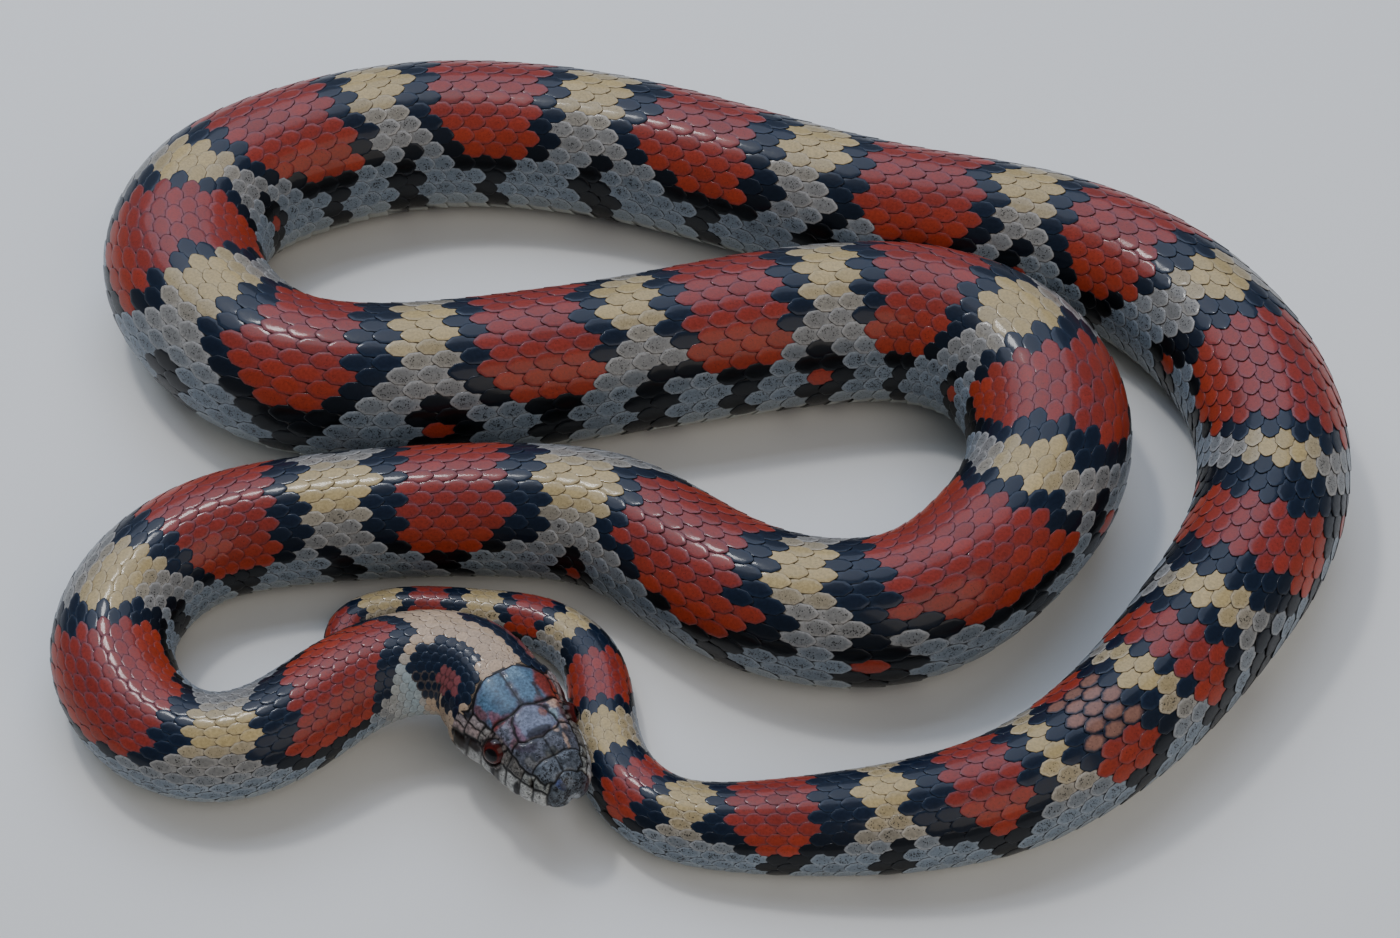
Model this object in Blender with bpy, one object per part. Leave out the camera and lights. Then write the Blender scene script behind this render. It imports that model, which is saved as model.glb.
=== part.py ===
"""Milk snake, life size, lying in loose loops with its head raised over the end of its tail.

The body follows one smooth route over the floor, from the tip of the snout to the tip of the
tail. It is cut into the head, the neck, even lengths of trunk and even lengths of tail, which
meet face to face across thin flat cuts. The eyes are balls in sockets of their own.
Lengths below are in mm. The model is in metres, +Z up, and stands on the floor at z = 0.
"""
import math

import bmesh
import bpy
import numpy as np
from mathutils import Vector

MM = 0.001

# Points that the middle of the body passes over, from the snout's tip to the tail's tip.
ROUTE = (
    (-10.0, -40.9), (-16.1, -30.5), (-17.5, -28.7), (-19.6, -27.6), (-22.2, -27.3),
    (-25.6, -28.0), (-29.2, -30.2), (-33.0, -33.0), (-37.2, -34.3), (-41.5, -33.2),
    (-45.5, -29.5), (-47.5, -24.5), (-46.5, -18.5), (-42.0, -13.3), (-34.0, -10.8),
    (-24.0, -9.8), (-14.5, -9.8), (-7.5, -11.3), (-2.0, -15.2), (3.5, -19.2),
    (9.5, -21.3), (17.0, -20.7), (24.5, -14.7), (29.5, -6.3), (30.2, 1.0),
    (27.0, 8.0), (20.0, 12.0), (11.0, 12.0), (-2.0, 9.3), (-16.0, 6.3),
    (-28.0, 4.8), (-37.0, 6.3), (-44.0, 12.0), (-48.0, 20.5), (-46.2, 29.5),
    (-38.5, 35.9), (-28.0, 39.5), (-18.0, 39.7), (-5.0, 36.8), (8.0, 31.6),
    (20.0, 27.6), (29.0, 25.4), (38.0, 21.4), (45.5, 13.4), (49.6, 1.5),
    (48.0, -10.5), (41.0, -22.5), (31.5, -33.3), (23.5, -38.5), (11.0, -41.0),
    (3.0, -41.0), (-2.6, -39.7), (-6.3, -35.8), (-7.8, -30.0), (-9.0, -24.0),
    (-12.5, -20.3), (-18.0, -18.7), (-23.2, -18.0), (-26.8, -18.3), (-29.1, -19.9),
    (-29.2, -22.0), (-27.2, -23.6), (-24.2, -23.6), (-20.5, -23.0), (-17.0, -23.7),
    (-15.2, -26.7), (-14.3, -30.2), (-13.6, -33.8),
)
ROUTE_STEP = 0.25

# Where the lengths end, measured along the body from the snout.
HEAD_END = 12.1
NECK_END = 36.0
VENT = 446.0
TRUNK_LENGTHS = 13
TAIL_LENGTHS = 4
CUT = 0.3

# Width of the body at distances from the snout, and how flat its section is there.
WIDTH = (
    (12.1, 8.8), (37, 8.9), (57, 10.4), (77, 11.4), (112, 12.3), (137, 13.1), (162, 15.0),
    (182, 15.1), (202, 14.5), (227, 14.5), (257, 15.2), (302, 14.6), (342, 13.7), (367, 13.4),
    (397, 11.8), (417, 10.0), (432, 8.4), (446, 6.6), (460, 5.5), (473, 4.6), (488, 3.6),
    (500, 2.7), (508, 1.8), (511.5, 1.2), (513.6, 0.5),
)
HEIGHT_TO_WIDTH = ((12.1, 0.86), (50, 0.95), (520, 0.95))
BACK_SHARE = 0.5      # of the height, above the widest level
BELLY_SHARE = 0.45    # of the height, below it, where the belly is cut flat
NECK_LIFT = 3.0       # how far the head end is held off the floor
LIFT_LENGTH = 34.0    # over which the neck comes down to the floor
AROUND = 20
RING_STEP = 2.6

# The head, at distances from the snout: half width, top and bottom from the neck's middle,
# and the level of the mouth.
HEAD_SHAPE = (
    (0.00, 0.70, 0.50, -0.70, -0.30),
    (0.12, 1.10, 0.90, -0.92, -0.30),
    (0.60, 1.75, 1.42, -1.20, -0.30),
    (1.20, 2.25, 1.80, -1.42, -0.32),
    (2.00, 2.75, 2.12, -1.62, -0.36),
    (3.20, 3.25, 2.48, -1.85, -0.44),
    (4.60, 3.60, 2.82, -2.08, -0.54),
    (6.20, 3.85, 3.12, -2.40, -0.66),
    (7.60, 4.10, 3.32, -2.70, -0.84),
    (9.20, 4.55, 3.52, -3.02, -1.05),
    (10.8, 4.75, 3.68, -3.27, -1.15),
    (12.1, 4.40, 3.78, -3.41, -1.15),
)
HEAD_RINGS = 34
HEAD_SQUARENESS = 2.5
SIDE_COLUMNS = 9      # from the middle of the crown to the lip
JAW_COLUMNS = 6       # from the lower lip to the middle of the chin
CROWN_TAPER = 0.10    # how much narrower the head is at its crown than at the lip
LIP_GAP = 0.11        # half the height of the line of the mouth
LIP_DEPTH = 0.40
MOUTH_CORNER = 9.2
JAW_SETBACK = 0.45    # how far the lower jaw lies behind the snout's tip
BROW_HEIGHT = 0.14

EYE_BACK = 6.2        # from the snout's tip
EYE_OUT = 2.98        # from the head's middle plane
EYE_UP = 1.15
EYE_RADIUS = 1.10
SOCKET_GAP = 0.15
NOSTRIL_BACK = 1.75
NOSTRIL_OUT = 2.62
NOSTRIL_UP = 0.62
NOSTRIL_RADIUS = 0.30

# The red saddles, by the distance of their middle from the snout and their length on the back.
SADDLES = (
    (26.6, 8.0), (45.6, 10.0), (66.6, 9.0), (86.9, 8.5), (108.6, 10.0), (131.6, 12.0),
    (151.9, 8.5), (170.6, 8.0), (188.6, 8.0), (205.9, 8.5), (225.6, 9.0), (245.4, 8.5),
    (263.9, 10.5), (285.1, 10.0), (307.1, 10.0), (328.9, 9.5), (348.9, 9.5), (371.1, 11.0),
    (389.3, 7.0), (404.9, 4.5), (413.4, 3.5), (423.9, 5.5), (439.1, 6.0), (450.1, 3.5),
    (462.1, 4.0), (471.9, 3.0), (480.4, 3.0), (489.4, 4.0), (498.4, 3.0), (506.4, 2.5),
)
BLACK_EDGE = 2.4      # width of the black edge of a saddle
SADDLE_SHOULDER = 40.0  # angle from the middle of the back where a saddle starts to round off
SADDLE_TIP = 72.0       # and where it ends, on the side
BELLY_ANGLE = 110.0   # from the middle of the back, below which the belly is pale


def smooth(table, column, at):
    """Read one column of a table at a distance, through a curve that never overshoots."""
    xs = np.array([row[0] for row in table], float)
    ys = np.array([row[column] for row in table], float)
    gaps = np.diff(xs)
    steps = np.diff(ys) / gaps
    slopes = np.zeros(len(xs))
    for i in range(1, len(xs) - 1):
        if steps[i - 1] * steps[i] > 0:
            slopes[i] = 2 * steps[i - 1] * steps[i] / (steps[i - 1] + steps[i])
    slopes[0], slopes[-1] = steps[0], steps[-1]
    at = min(max(at, xs[0]), xs[-1])
    i = int(np.clip(np.searchsorted(xs, at, side="right") - 1, 0, len(gaps) - 1))
    t = (at - xs[i]) / gaps[i]
    return float(
        (2 * t**3 - 3 * t**2 + 1) * ys[i]
        + (t**3 - 2 * t**2 + t) * gaps[i] * slopes[i]
        + (-2 * t**3 + 3 * t**2) * ys[i + 1]
        + (t**3 - t**2) * gaps[i] * slopes[i + 1]
    )


def natural_spline(points):
    """A curve with smooth bends through the route's points, as closely spaced (x, y)."""
    knots = np.array(points, float)
    along = np.concatenate([[0], np.cumsum(np.linalg.norm(np.diff(knots, axis=0), axis=1))])
    gaps = np.diff(along)
    count = len(along)
    system = np.eye(count)
    right = np.zeros((count, 2))
    for i in range(1, count - 1):
        system[i, i - 1:i + 2] = gaps[i - 1], 2 * (gaps[i - 1] + gaps[i]), gaps[i]
        right[i] = 6 * ((knots[i + 1] - knots[i]) / gaps[i] - (knots[i] - knots[i - 1]) / gaps[i - 1])
    bend = np.linalg.solve(system, right)
    at = np.linspace(0, along[-1], int(along[-1] / ROUTE_STEP) + 1)
    i = np.clip(np.searchsorted(along, at, side="right") - 1, 0, count - 2)
    past = (at - along[i])[:, None]
    left = (along[i + 1] - at)[:, None]
    gap = gaps[i][:, None]
    return (
        (bend[i] * left**3 + bend[i + 1] * past**3) / (6 * gap)
        + (knots[i] / gap - bend[i] * gap / 6) * left
        + (knots[i + 1] / gap - bend[i + 1] * gap / 6) * past
    )


PATH = natural_spline(ROUTE)
PATH_AT = np.concatenate([[0], np.cumsum(np.linalg.norm(np.diff(PATH, axis=0), axis=1))])
LENGTH = float(PATH_AT[-1])


def width_at(s):
    return smooth(WIDTH, 1, s)


def height_at(s):
    return width_at(s) * smooth(HEIGHT_TO_WIDTH, 1, s)


def middle_at(s):
    """The middle of the body at a distance from the snout."""
    down = min(max(1 - (s - HEAD_END) / LIFT_LENGTH, 0), 1)
    lift = NECK_LIFT * down * down * (3 - 2 * down)
    x = np.interp(s, PATH_AT, PATH[:, 0])
    y = np.interp(s, PATH_AT, PATH[:, 1])
    return Vector((x, y, BELLY_SHARE * height_at(s) + lift))


def frame_at(s):
    """The middle of the body, the way to the tail, to the side, and up."""
    reach = 0.6
    before = middle_at(max(s - reach, HEAD_END - reach))
    after = middle_at(min(s + reach, LENGTH))
    ahead = (after - before).normalized()
    side = ahead.cross(Vector((0, 0, 1))).normalized()
    return middle_at(s), ahead, side, side.cross(ahead)


ROOM = np.array([(*(PATH[i] - width_at(PATH_AT[i]) / 2), *(PATH[i] + width_at(PATH_AT[i]) / 2))
                 for i in range(len(PATH)) if PATH_AT[i] > HEAD_END])
CENTRE = Vector((
    (ROOM[:, 0].min() + ROOM[:, 2].max()) / 2,
    (ROOM[:, 1].min() + ROOM[:, 3].max()) / 2,
    0,
))


def to_world(point):
    """Millimetres on the route's plan to metres, with the whole snake centred on the origin."""
    return (point - CENTRE) * MM


def body_ring(s, cut_at=None):
    """One section across the body: a rounded back and sides, and a flat belly."""
    middle, ahead, side, up = frame_at(s if cut_at is None else cut_at)
    if cut_at is not None:
        middle = middle + ahead * (s - cut_at)
    half = width_at(s) / 2
    height = height_at(s)
    ring = []
    for k in range(AROUND):
        turn = 2 * math.pi * k / AROUND
        level = max(BACK_SHARE * height * math.cos(turn), -BELLY_SHARE * height)
        ring.append(middle + side * (half * math.sin(turn)) + up * level)
    return ring


def loft(name, rings, material_of=None, materials=()):
    """A closed skin over rings of equal count, capped flat at both ends."""
    mesh = bmesh.new()
    rows = [[mesh.verts.new(to_world(point)) for point in ring] for ring in rings]
    count = len(rings[0])
    for i in range(len(rows) - 1):
        for k in range(count):
            near, far = rows[i], rows[i + 1]
            face = mesh.faces.new((near[k], near[(k + 1) % count], far[(k + 1) % count], far[k]))
            face.smooth = True
            if material_of:
                face.material_index = material_of(i, k)
    for row in (rows[0], rows[-1]):
        mesh.faces.new(row).material_index = max(len(materials) - 1, 0)
    bmesh.ops.recalc_face_normals(mesh, faces=mesh.faces)
    data = bpy.data.meshes.new(name)
    mesh.to_mesh(data)
    mesh.free()
    for material in materials:
        data.materials.append(material)
    thing = bpy.data.objects.new(name, data)
    snake.objects.link(thing)
    return thing


def band_of(s, angle):
    """Which colour a place has: 0 red, 1 black, 2 pale."""
    if angle > BELLY_ANGLE:
        return 2
    middle, length = min(SADDLES, key=lambda saddle: abs(saddle[0] - s))
    round_off = min(max((angle - SADDLE_SHOULDER) / (SADDLE_TIP - SADDLE_SHOULDER), 0), 1)
    edge = abs(s - middle) - length / 2 * math.sqrt(1 - round_off**2)
    if edge < 0:
        return 0
    return 1 if edge < BLACK_EDGE else 2


def body_length(name, start, end):
    """One length of the body between two cuts."""
    first = start + CUT / 2
    last = end - CUT / 2
    count = max(3, round((last - first) / RING_STEP))
    places = [first + (last - first) * i / count for i in range(count + 1)]
    rings = [body_ring(s) for s in places]
    rings[0] = body_ring(first, cut_at=start)
    if end < LENGTH:
        rings[-1] = body_ring(last, cut_at=end)

    def material_of(i, k):
        turn = 360 * (k + 0.5) / AROUND
        return band_of((places[i] + places[i + 1]) / 2, min(turn, 360 - turn))

    return loft(name, rings, material_of, (red_scales, black_scales, pale_scales))


def head_ring(back):
    """One section across the head, from the middle of the crown, round by the chin."""
    half, top, bottom, mouth = (smooth(HEAD_SHAPE, column, back) for column in (1, 2, 3, 4))
    middle, ahead, side, up = frame_at(HEAD_END)
    middle = middle - ahead * (HEAD_END - back)
    open_mouth = min(max((MOUTH_CORNER - back) / 1.5, 0), 1)
    setback = JAW_SETBACK * max(1 - back / 4, 0)
    power = 2 / HEAD_SQUARENESS

    def wall(level, reach):
        """How far out the head's side is at a level."""
        share = min(abs(level / reach), 1)
        return half * (1 - share ** HEAD_SQUARENESS) ** (1 / HEAD_SQUARENESS)

    lip_up = mouth + LIP_GAP
    lip_down = mouth - LIP_GAP
    outline = []
    for k in range(SIDE_COLUMNS + 1):
        turn = math.pi / 2 * k / SIDE_COLUMNS
        level = lip_up + (top - lip_up) * math.cos(turn) ** power
        out = half * math.sin(turn) ** power * (1 - CROWN_TAPER * max(level, 0) / top)
        brow = math.exp(-((back - EYE_BACK) / 1.8) ** 2 - ((k / SIDE_COLUMNS - 0.42) / 0.16) ** 2)
        outline.append((out + BROW_HEIGHT * brow, level + BROW_HEIGHT * brow, 0))
    groove = LIP_DEPTH * open_mouth
    outline.append((wall(0, 1) - groove, mouth, setback * 0.5))
    for k in range(JAW_COLUMNS + 1):
        turn = math.pi / 2 * (1 - k / JAW_COLUMNS)
        level = lip_down + (bottom - lip_down) * math.cos(turn) ** power
        out = half * math.sin(turn) ** power
        outline.append((out * (1 - 0.06 * open_mouth), level, setback))
    right = [middle + side * out + up * level + ahead * shift for out, level, shift in outline]
    left = [middle - side * out + up * level + ahead * shift for out, level, shift in outline[-2:0:-1]]
    return right + left


def head_place(back, out, level):
    """A point of the head, from the snout's tip, its middle plane and the neck's middle."""
    middle, ahead, side, up = frame_at(HEAD_END)
    return middle - ahead * (HEAD_END - back) + side * out + up * level


def ball(name, place, radius, collection, segments=24):
    bpy.ops.mesh.primitive_uv_sphere_add(
        segments=segments, ring_count=segments // 2, radius=radius * MM, location=to_world(place)
    )
    thing = bpy.context.object
    thing.name = name
    for owner in list(thing.users_collection):
        owner.objects.unlink(thing)
    collection.objects.link(thing)
    thing.data.shade_smooth()
    return thing


def cut_out(thing, cutter):
    """Take a cutter's shape out of a thing."""
    cutter.hide_render = True
    cutter.display_type = "WIRE"
    cut = thing.modifiers.new(cutter.name, "BOOLEAN")
    cut.operation = "DIFFERENCE"
    cut.object = cutter


def make_head():
    last = HEAD_END - CUT / 2
    backs = [last * (i / HEAD_RINGS) ** 1.5 for i in range(HEAD_RINGS + 1)]
    head = loft("head", [head_ring(back) for back in backs], materials=(head_scales,))
    for hand, out in (("left", 1), ("right", -1)):
        place = head_place(EYE_BACK, out * EYE_OUT, EYE_UP)
        eye = ball(f"eye_{hand}", place, EYE_RADIUS, snake)
        eye.data.materials.append(eye_wet)
        cut_out(head, ball(f"socket_{hand}", place, EYE_RADIUS + SOCKET_GAP, cutters))
        nostril = head_place(NOSTRIL_BACK, out * NOSTRIL_OUT, NOSTRIL_UP)
        cut_out(head, ball(f"nostril_{hand}", nostril, NOSTRIL_RADIUS, cutters, segments=10))


def make_body():
    body_length("neck", HEAD_END, NECK_END)
    trunk_step = (VENT - NECK_END) / TRUNK_LENGTHS
    for i in range(TRUNK_LENGTHS):
        start = NECK_END + trunk_step * i
        body_length(f"trunk_{i + 1:02d}", start, start + trunk_step)
    tail_step = (LENGTH - VENT) / TAIL_LENGTHS
    for i in range(TAIL_LENGTHS):
        start = VENT + tail_step * i
        body_length(f"tail_{i + 1}", start, start + tail_step)


def skin_material(name, colour, roughness):
    material = bpy.data.materials.new(name)
    material.use_nodes = True
    shader = material.node_tree.nodes["Principled BSDF"]
    shader.inputs["Base Color"].default_value = (*colour, 1)
    shader.inputs["Roughness"].default_value = roughness
    shader.inputs["Metallic"].default_value = 0
    material.diffuse_color = (*colour, 1)
    return material


for old in list(bpy.data.objects):
    bpy.data.objects.remove(old)

snake = bpy.data.collections.new("milk snake")
cutters = bpy.data.collections.new("cutters")
for collection in (snake, cutters):
    bpy.context.scene.collection.children.link(collection)

red_scales = skin_material("red scales", (0.36, 0.07, 0.03), 0.35)
black_scales = skin_material("black scales", (0.01, 0.015, 0.03), 0.3)
pale_scales = skin_material("pale scales", (0.55, 0.5, 0.38), 0.4)
head_scales = skin_material("head scales", (0.2, 0.12, 0.09), 0.3)
eye_wet = skin_material("eye", (0.08, 0.01, 0.005), 0.05)

make_head()
make_body()
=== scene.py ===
# %% [markdown]
# # A milk snake, life size
# The animal is a real, living snake of about half a metre, lying in loose loops. Under the skin
# of a snake there is almost one plain form, a long tapering tube, so the work is in three layers:
# a skin that follows the body, a coat of some five thousand smooth scales laid over it like roof
# tiles, and the head, with its large plates, lips, nostrils and eyes.
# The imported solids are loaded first. They stay as they are, and the pieces made here take over
# their look.

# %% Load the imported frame
import math

import bmesh
import bpy
import numpy as np
from mathutils import Matrix


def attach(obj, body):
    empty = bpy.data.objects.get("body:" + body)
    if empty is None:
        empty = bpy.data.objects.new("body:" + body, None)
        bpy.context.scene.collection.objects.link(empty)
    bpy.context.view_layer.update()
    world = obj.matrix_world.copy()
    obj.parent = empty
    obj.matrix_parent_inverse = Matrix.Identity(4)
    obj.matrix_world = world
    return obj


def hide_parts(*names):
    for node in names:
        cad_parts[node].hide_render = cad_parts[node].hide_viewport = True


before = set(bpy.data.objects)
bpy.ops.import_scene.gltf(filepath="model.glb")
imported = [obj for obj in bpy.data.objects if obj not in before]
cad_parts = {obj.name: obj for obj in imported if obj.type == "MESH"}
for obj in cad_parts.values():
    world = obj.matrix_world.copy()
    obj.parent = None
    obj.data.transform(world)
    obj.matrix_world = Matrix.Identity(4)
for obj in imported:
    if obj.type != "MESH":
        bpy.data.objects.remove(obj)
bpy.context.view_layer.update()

bpy.ops.object.select_all(action="DESELECT")

# %% [markdown]
# ## The route of the body
# A snake at rest lies in smooth bends, tighter where it turns back on itself. The route is the
# same chain of points as the solids have, in millimetres on the floor, and one smooth curve goes
# through them. A bezier curve object could carry the body too, but scales have to be laid at
# exact distances from the snout, so the curve is worked out in numbers, and each distance gives
# a place and a heading.

# %% Points of the route, in mm over the floor
MM = 0.001
ROUTE = (
    (-10.0, -40.9), (-16.1, -30.5), (-17.5, -28.7), (-19.6, -27.6), (-22.2, -27.3),
    (-25.6, -28.0), (-29.2, -30.2), (-33.0, -33.0), (-37.2, -34.3), (-41.5, -33.2),
    (-45.5, -29.5), (-47.5, -24.5), (-46.5, -18.5), (-42.0, -13.3), (-34.0, -10.8),
    (-24.0, -9.8), (-14.5, -9.8), (-7.5, -11.3), (-2.0, -15.2), (3.5, -19.2),
    (9.5, -21.3), (17.0, -20.7), (24.5, -14.7), (29.5, -6.3), (30.2, 1.0),
    (27.0, 8.0), (20.0, 12.0), (11.0, 12.0), (-2.0, 9.3), (-16.0, 6.3),
    (-28.0, 4.8), (-37.0, 6.3), (-44.0, 12.0), (-48.0, 20.5), (-46.2, 29.5),
    (-38.5, 35.9), (-28.0, 39.5), (-18.0, 39.7), (-5.0, 36.8), (8.0, 31.6),
    (20.0, 27.6), (29.0, 25.4), (38.0, 21.4), (45.5, 13.4), (49.6, 1.5),
    (48.0, -10.5), (41.0, -22.5), (31.5, -33.3), (23.5, -38.5), (11.0, -41.0),
    (3.0, -41.0), (-2.6, -39.7), (-6.3, -35.8), (-7.8, -30.0), (-9.0, -24.0),
    (-12.5, -20.3), (-18.0, -18.7), (-23.2, -18.0), (-26.8, -18.3), (-29.1, -19.9),
    (-29.2, -22.0), (-27.2, -23.6), (-24.2, -23.6), (-20.5, -23.0), (-17.0, -23.7),
    (-15.2, -26.7), (-14.3, -30.2), (-13.6, -33.8),
)
ROUTE_STEP = 0.25
CENTRE = np.array([0.3279, 1.1478, 0.0])
print("points of the route", len(ROUTE))


# %% A smooth curve through the points
def natural_spline(points):
    """A curve with smooth bends through the route's points, as closely spaced (x, y)."""
    knots = np.array(points, float)
    along = np.concatenate([[0], np.cumsum(np.linalg.norm(np.diff(knots, axis=0), axis=1))])
    gaps = np.diff(along)
    count = len(along)
    system = np.eye(count)
    right = np.zeros((count, 2))
    for i in range(1, count - 1):
        system[i, i - 1:i + 2] = gaps[i - 1], 2 * (gaps[i - 1] + gaps[i]), gaps[i]
        right[i] = 6 * ((knots[i + 1] - knots[i]) / gaps[i] - (knots[i] - knots[i - 1]) / gaps[i - 1])
    bend = np.linalg.solve(system, right)
    at = np.linspace(0, along[-1], int(along[-1] / ROUTE_STEP) + 1)
    i = np.clip(np.searchsorted(along, at, side="right") - 1, 0, count - 2)
    past = (at - along[i])[:, None]
    left = (along[i + 1] - at)[:, None]
    gap = gaps[i][:, None]
    return (
        (bend[i] * left**3 + bend[i + 1] * past**3) / (6 * gap)
        + (knots[i] / gap - bend[i] * gap / 6) * left
        + (knots[i + 1] / gap - bend[i + 1] * gap / 6) * past
    )


PATH = natural_spline(ROUTE)
PATH_AT = np.concatenate([[0], np.cumsum(np.linalg.norm(np.diff(PATH, axis=0), axis=1))])
LENGTH = float(PATH_AT[-1])
print("length of the snake", round(LENGTH, 1), "mm")

# %% [markdown]
# ## How thick the body is
# The neck of a milk snake is hardly narrower than its head, the body is thickest past its
# middle, and the tail thins quickly behind the vent. The sizes are kept as short tables and read
# through a curve that never overshoots. The head's table gives its half width, crown, chin and
# the level of the mouth.

# %% Tables of size
HEAD_END = 12.1
VENT = 446.0
WIDTH = (
    (12.1, 8.8), (37, 8.9), (57, 10.4), (77, 11.4), (112, 12.3), (137, 13.1), (162, 15.0),
    (182, 15.1), (202, 14.5), (227, 14.5), (257, 15.2), (302, 14.6), (342, 13.7), (367, 13.4),
    (397, 11.8), (417, 10.0), (432, 8.4), (446, 6.6), (460, 5.5), (473, 4.6), (488, 3.6),
    (500, 2.7), (508, 1.8), (511.5, 1.2), (513.6, 0.5),
)
HEIGHT_TO_WIDTH = ((12.1, 0.86), (50, 0.95), (520, 0.95))
HEAD_SHAPE = (
    (0.00, 0.70, 0.50, -0.70, -0.30),
    (0.12, 1.10, 0.90, -0.92, -0.30),
    (0.60, 1.75, 1.42, -1.20, -0.30),
    (1.20, 2.25, 1.80, -1.42, -0.32),
    (2.00, 2.75, 2.12, -1.62, -0.36),
    (3.20, 3.25, 2.48, -1.85, -0.44),
    (4.60, 3.60, 2.82, -2.08, -0.54),
    (6.20, 3.85, 3.12, -2.40, -0.66),
    (7.60, 4.10, 3.32, -2.70, -0.84),
    (9.20, 4.55, 3.52, -3.02, -1.05),
    (10.8, 4.75, 3.68, -3.27, -1.15),
    (12.1, 4.40, 3.78, -3.41, -1.15),
)
print("widths given at", len(WIDTH), "places, the head's section at", len(HEAD_SHAPE))


# %% Curves that read the tables
def smooth(table, column, at):
    """Read one column of a table at many distances, through a curve that never overshoots."""
    xs = np.array([row[0] for row in table], float)
    ys = np.array([row[column] for row in table], float)
    gaps = np.diff(xs)
    steps = np.diff(ys) / gaps
    slopes = np.zeros(len(xs))
    for i in range(1, len(xs) - 1):
        if steps[i - 1] * steps[i] > 0:
            slopes[i] = 2 * steps[i - 1] * steps[i] / (steps[i - 1] + steps[i])
    slopes[0] = steps[0]
    slopes[-1] = steps[-1]
    at = np.clip(at, xs[0], xs[-1])
    i = np.clip(np.searchsorted(xs, at, side="right") - 1, 0, len(gaps) - 1)
    t = (at - xs[i]) / gaps[i]
    return (
        (2 * t**3 - 3 * t**2 + 1) * ys[i]
        + (t**3 - 2 * t**2 + t) * gaps[i] * slopes[i]
        + (-2 * t**3 + 3 * t**2) * ys[i + 1]
        + (t**3 - t**2) * gaps[i] * slopes[i + 1]
    )


def ease(at, start, end):
    """0 before the start, 1 after the end, and a soft step between them."""
    t = np.clip((at - start) / (end - start), 0, 1)
    return t * t * (3 - 2 * t)


def near(gap, reach, power=2):
    """1 where there is no gap, falling softly to 0 past the reach."""
    return np.exp(-((gap / reach) ** power))


def width_at(s):
    return smooth(WIDTH, 1, s)


def height_at(s):
    return width_at(s) * smooth(HEIGHT_TO_WIDTH, 1, s)


# %% [markdown]
# ## Any place on the skin
# A place on the skin is named by two numbers: its distance from the snout, and its turn round
# the body, from 0 on the middle of the back to pi on the middle of the belly, positive on the
# snake's own left. Skin, scales, plates and markings all use these two numbers, so they can't
# slide apart. The head is held a little off the floor, and the neck comes down to it.

# %% Shares and lifts of the body, depths on the head
BELLY_SHARE = 0.45
BACK_SHARE = 0.5
HEADING_REACH = 0.6
NECK_LIFT = 3.0
LIFT_LENGTH = 34.0
HEAD_SQUARENESS = 2.5
BODY_SQUARENESS = 2.0
CROWN_TAPER = 0.10
NECK_BLEND = 5.0
MOUTH_CORNER = 9.2
LIP_AT = math.radians(107)
LIP_DEPTH = 0.34
LIP_TURN = 0.050
JAW_NARROWER = 0.07
JAW_SETBACK = 0.45
BROW_HEIGHT = 0.16
EYE_BACK = 6.2
print("head and neck are held", NECK_LIFT, "mm up")


# %% The middle of the body and its heading
def middle_at(s):
    """The middle of the body at distances from the snout."""
    down = 1 - ease(s, HEAD_END, HEAD_END + LIFT_LENGTH)
    level = BELLY_SHARE * height_at(s) + NECK_LIFT * down
    return np.stack([np.interp(s, PATH_AT, PATH[:, 0]), np.interp(s, PATH_AT, PATH[:, 1]), level], -1)


def unit(vectors):
    return vectors / np.linalg.norm(vectors, axis=-1, keepdims=True)


def frame_at(s):
    """The middle of the body, the way to the tail, to the snake's left, and up."""
    on_body = np.maximum(s, HEAD_END)
    later = middle_at(np.minimum(on_body + HEADING_REACH, LENGTH))
    ahead = unit(later - middle_at(on_body - HEADING_REACH))
    side = unit(np.cross(ahead, (0.0, 0.0, 1.0)))
    middle = middle_at(on_body) + ahead * np.minimum(s - HEAD_END, 0)[..., None]
    return middle, ahead, side, np.cross(side, ahead)


# %% From distance and turn to a place
def section_at(s):
    """Half width, crown, bottom, widest level and flat belly level of the section there."""
    body = ease(s, HEAD_END, HEAD_END + NECK_BLEND)
    tall = height_at(s)
    of_head = [smooth(HEAD_SHAPE, column, s) for column in (1, 2, 3, 4, 3)]
    of_body = [width_at(s) / 2, BACK_SHARE * tall, -BACK_SHARE * tall, 0 * s, -BELLY_SHARE * tall]
    return body, [a + (b - a) * body for a, b in zip(of_head, of_body)]


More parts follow.
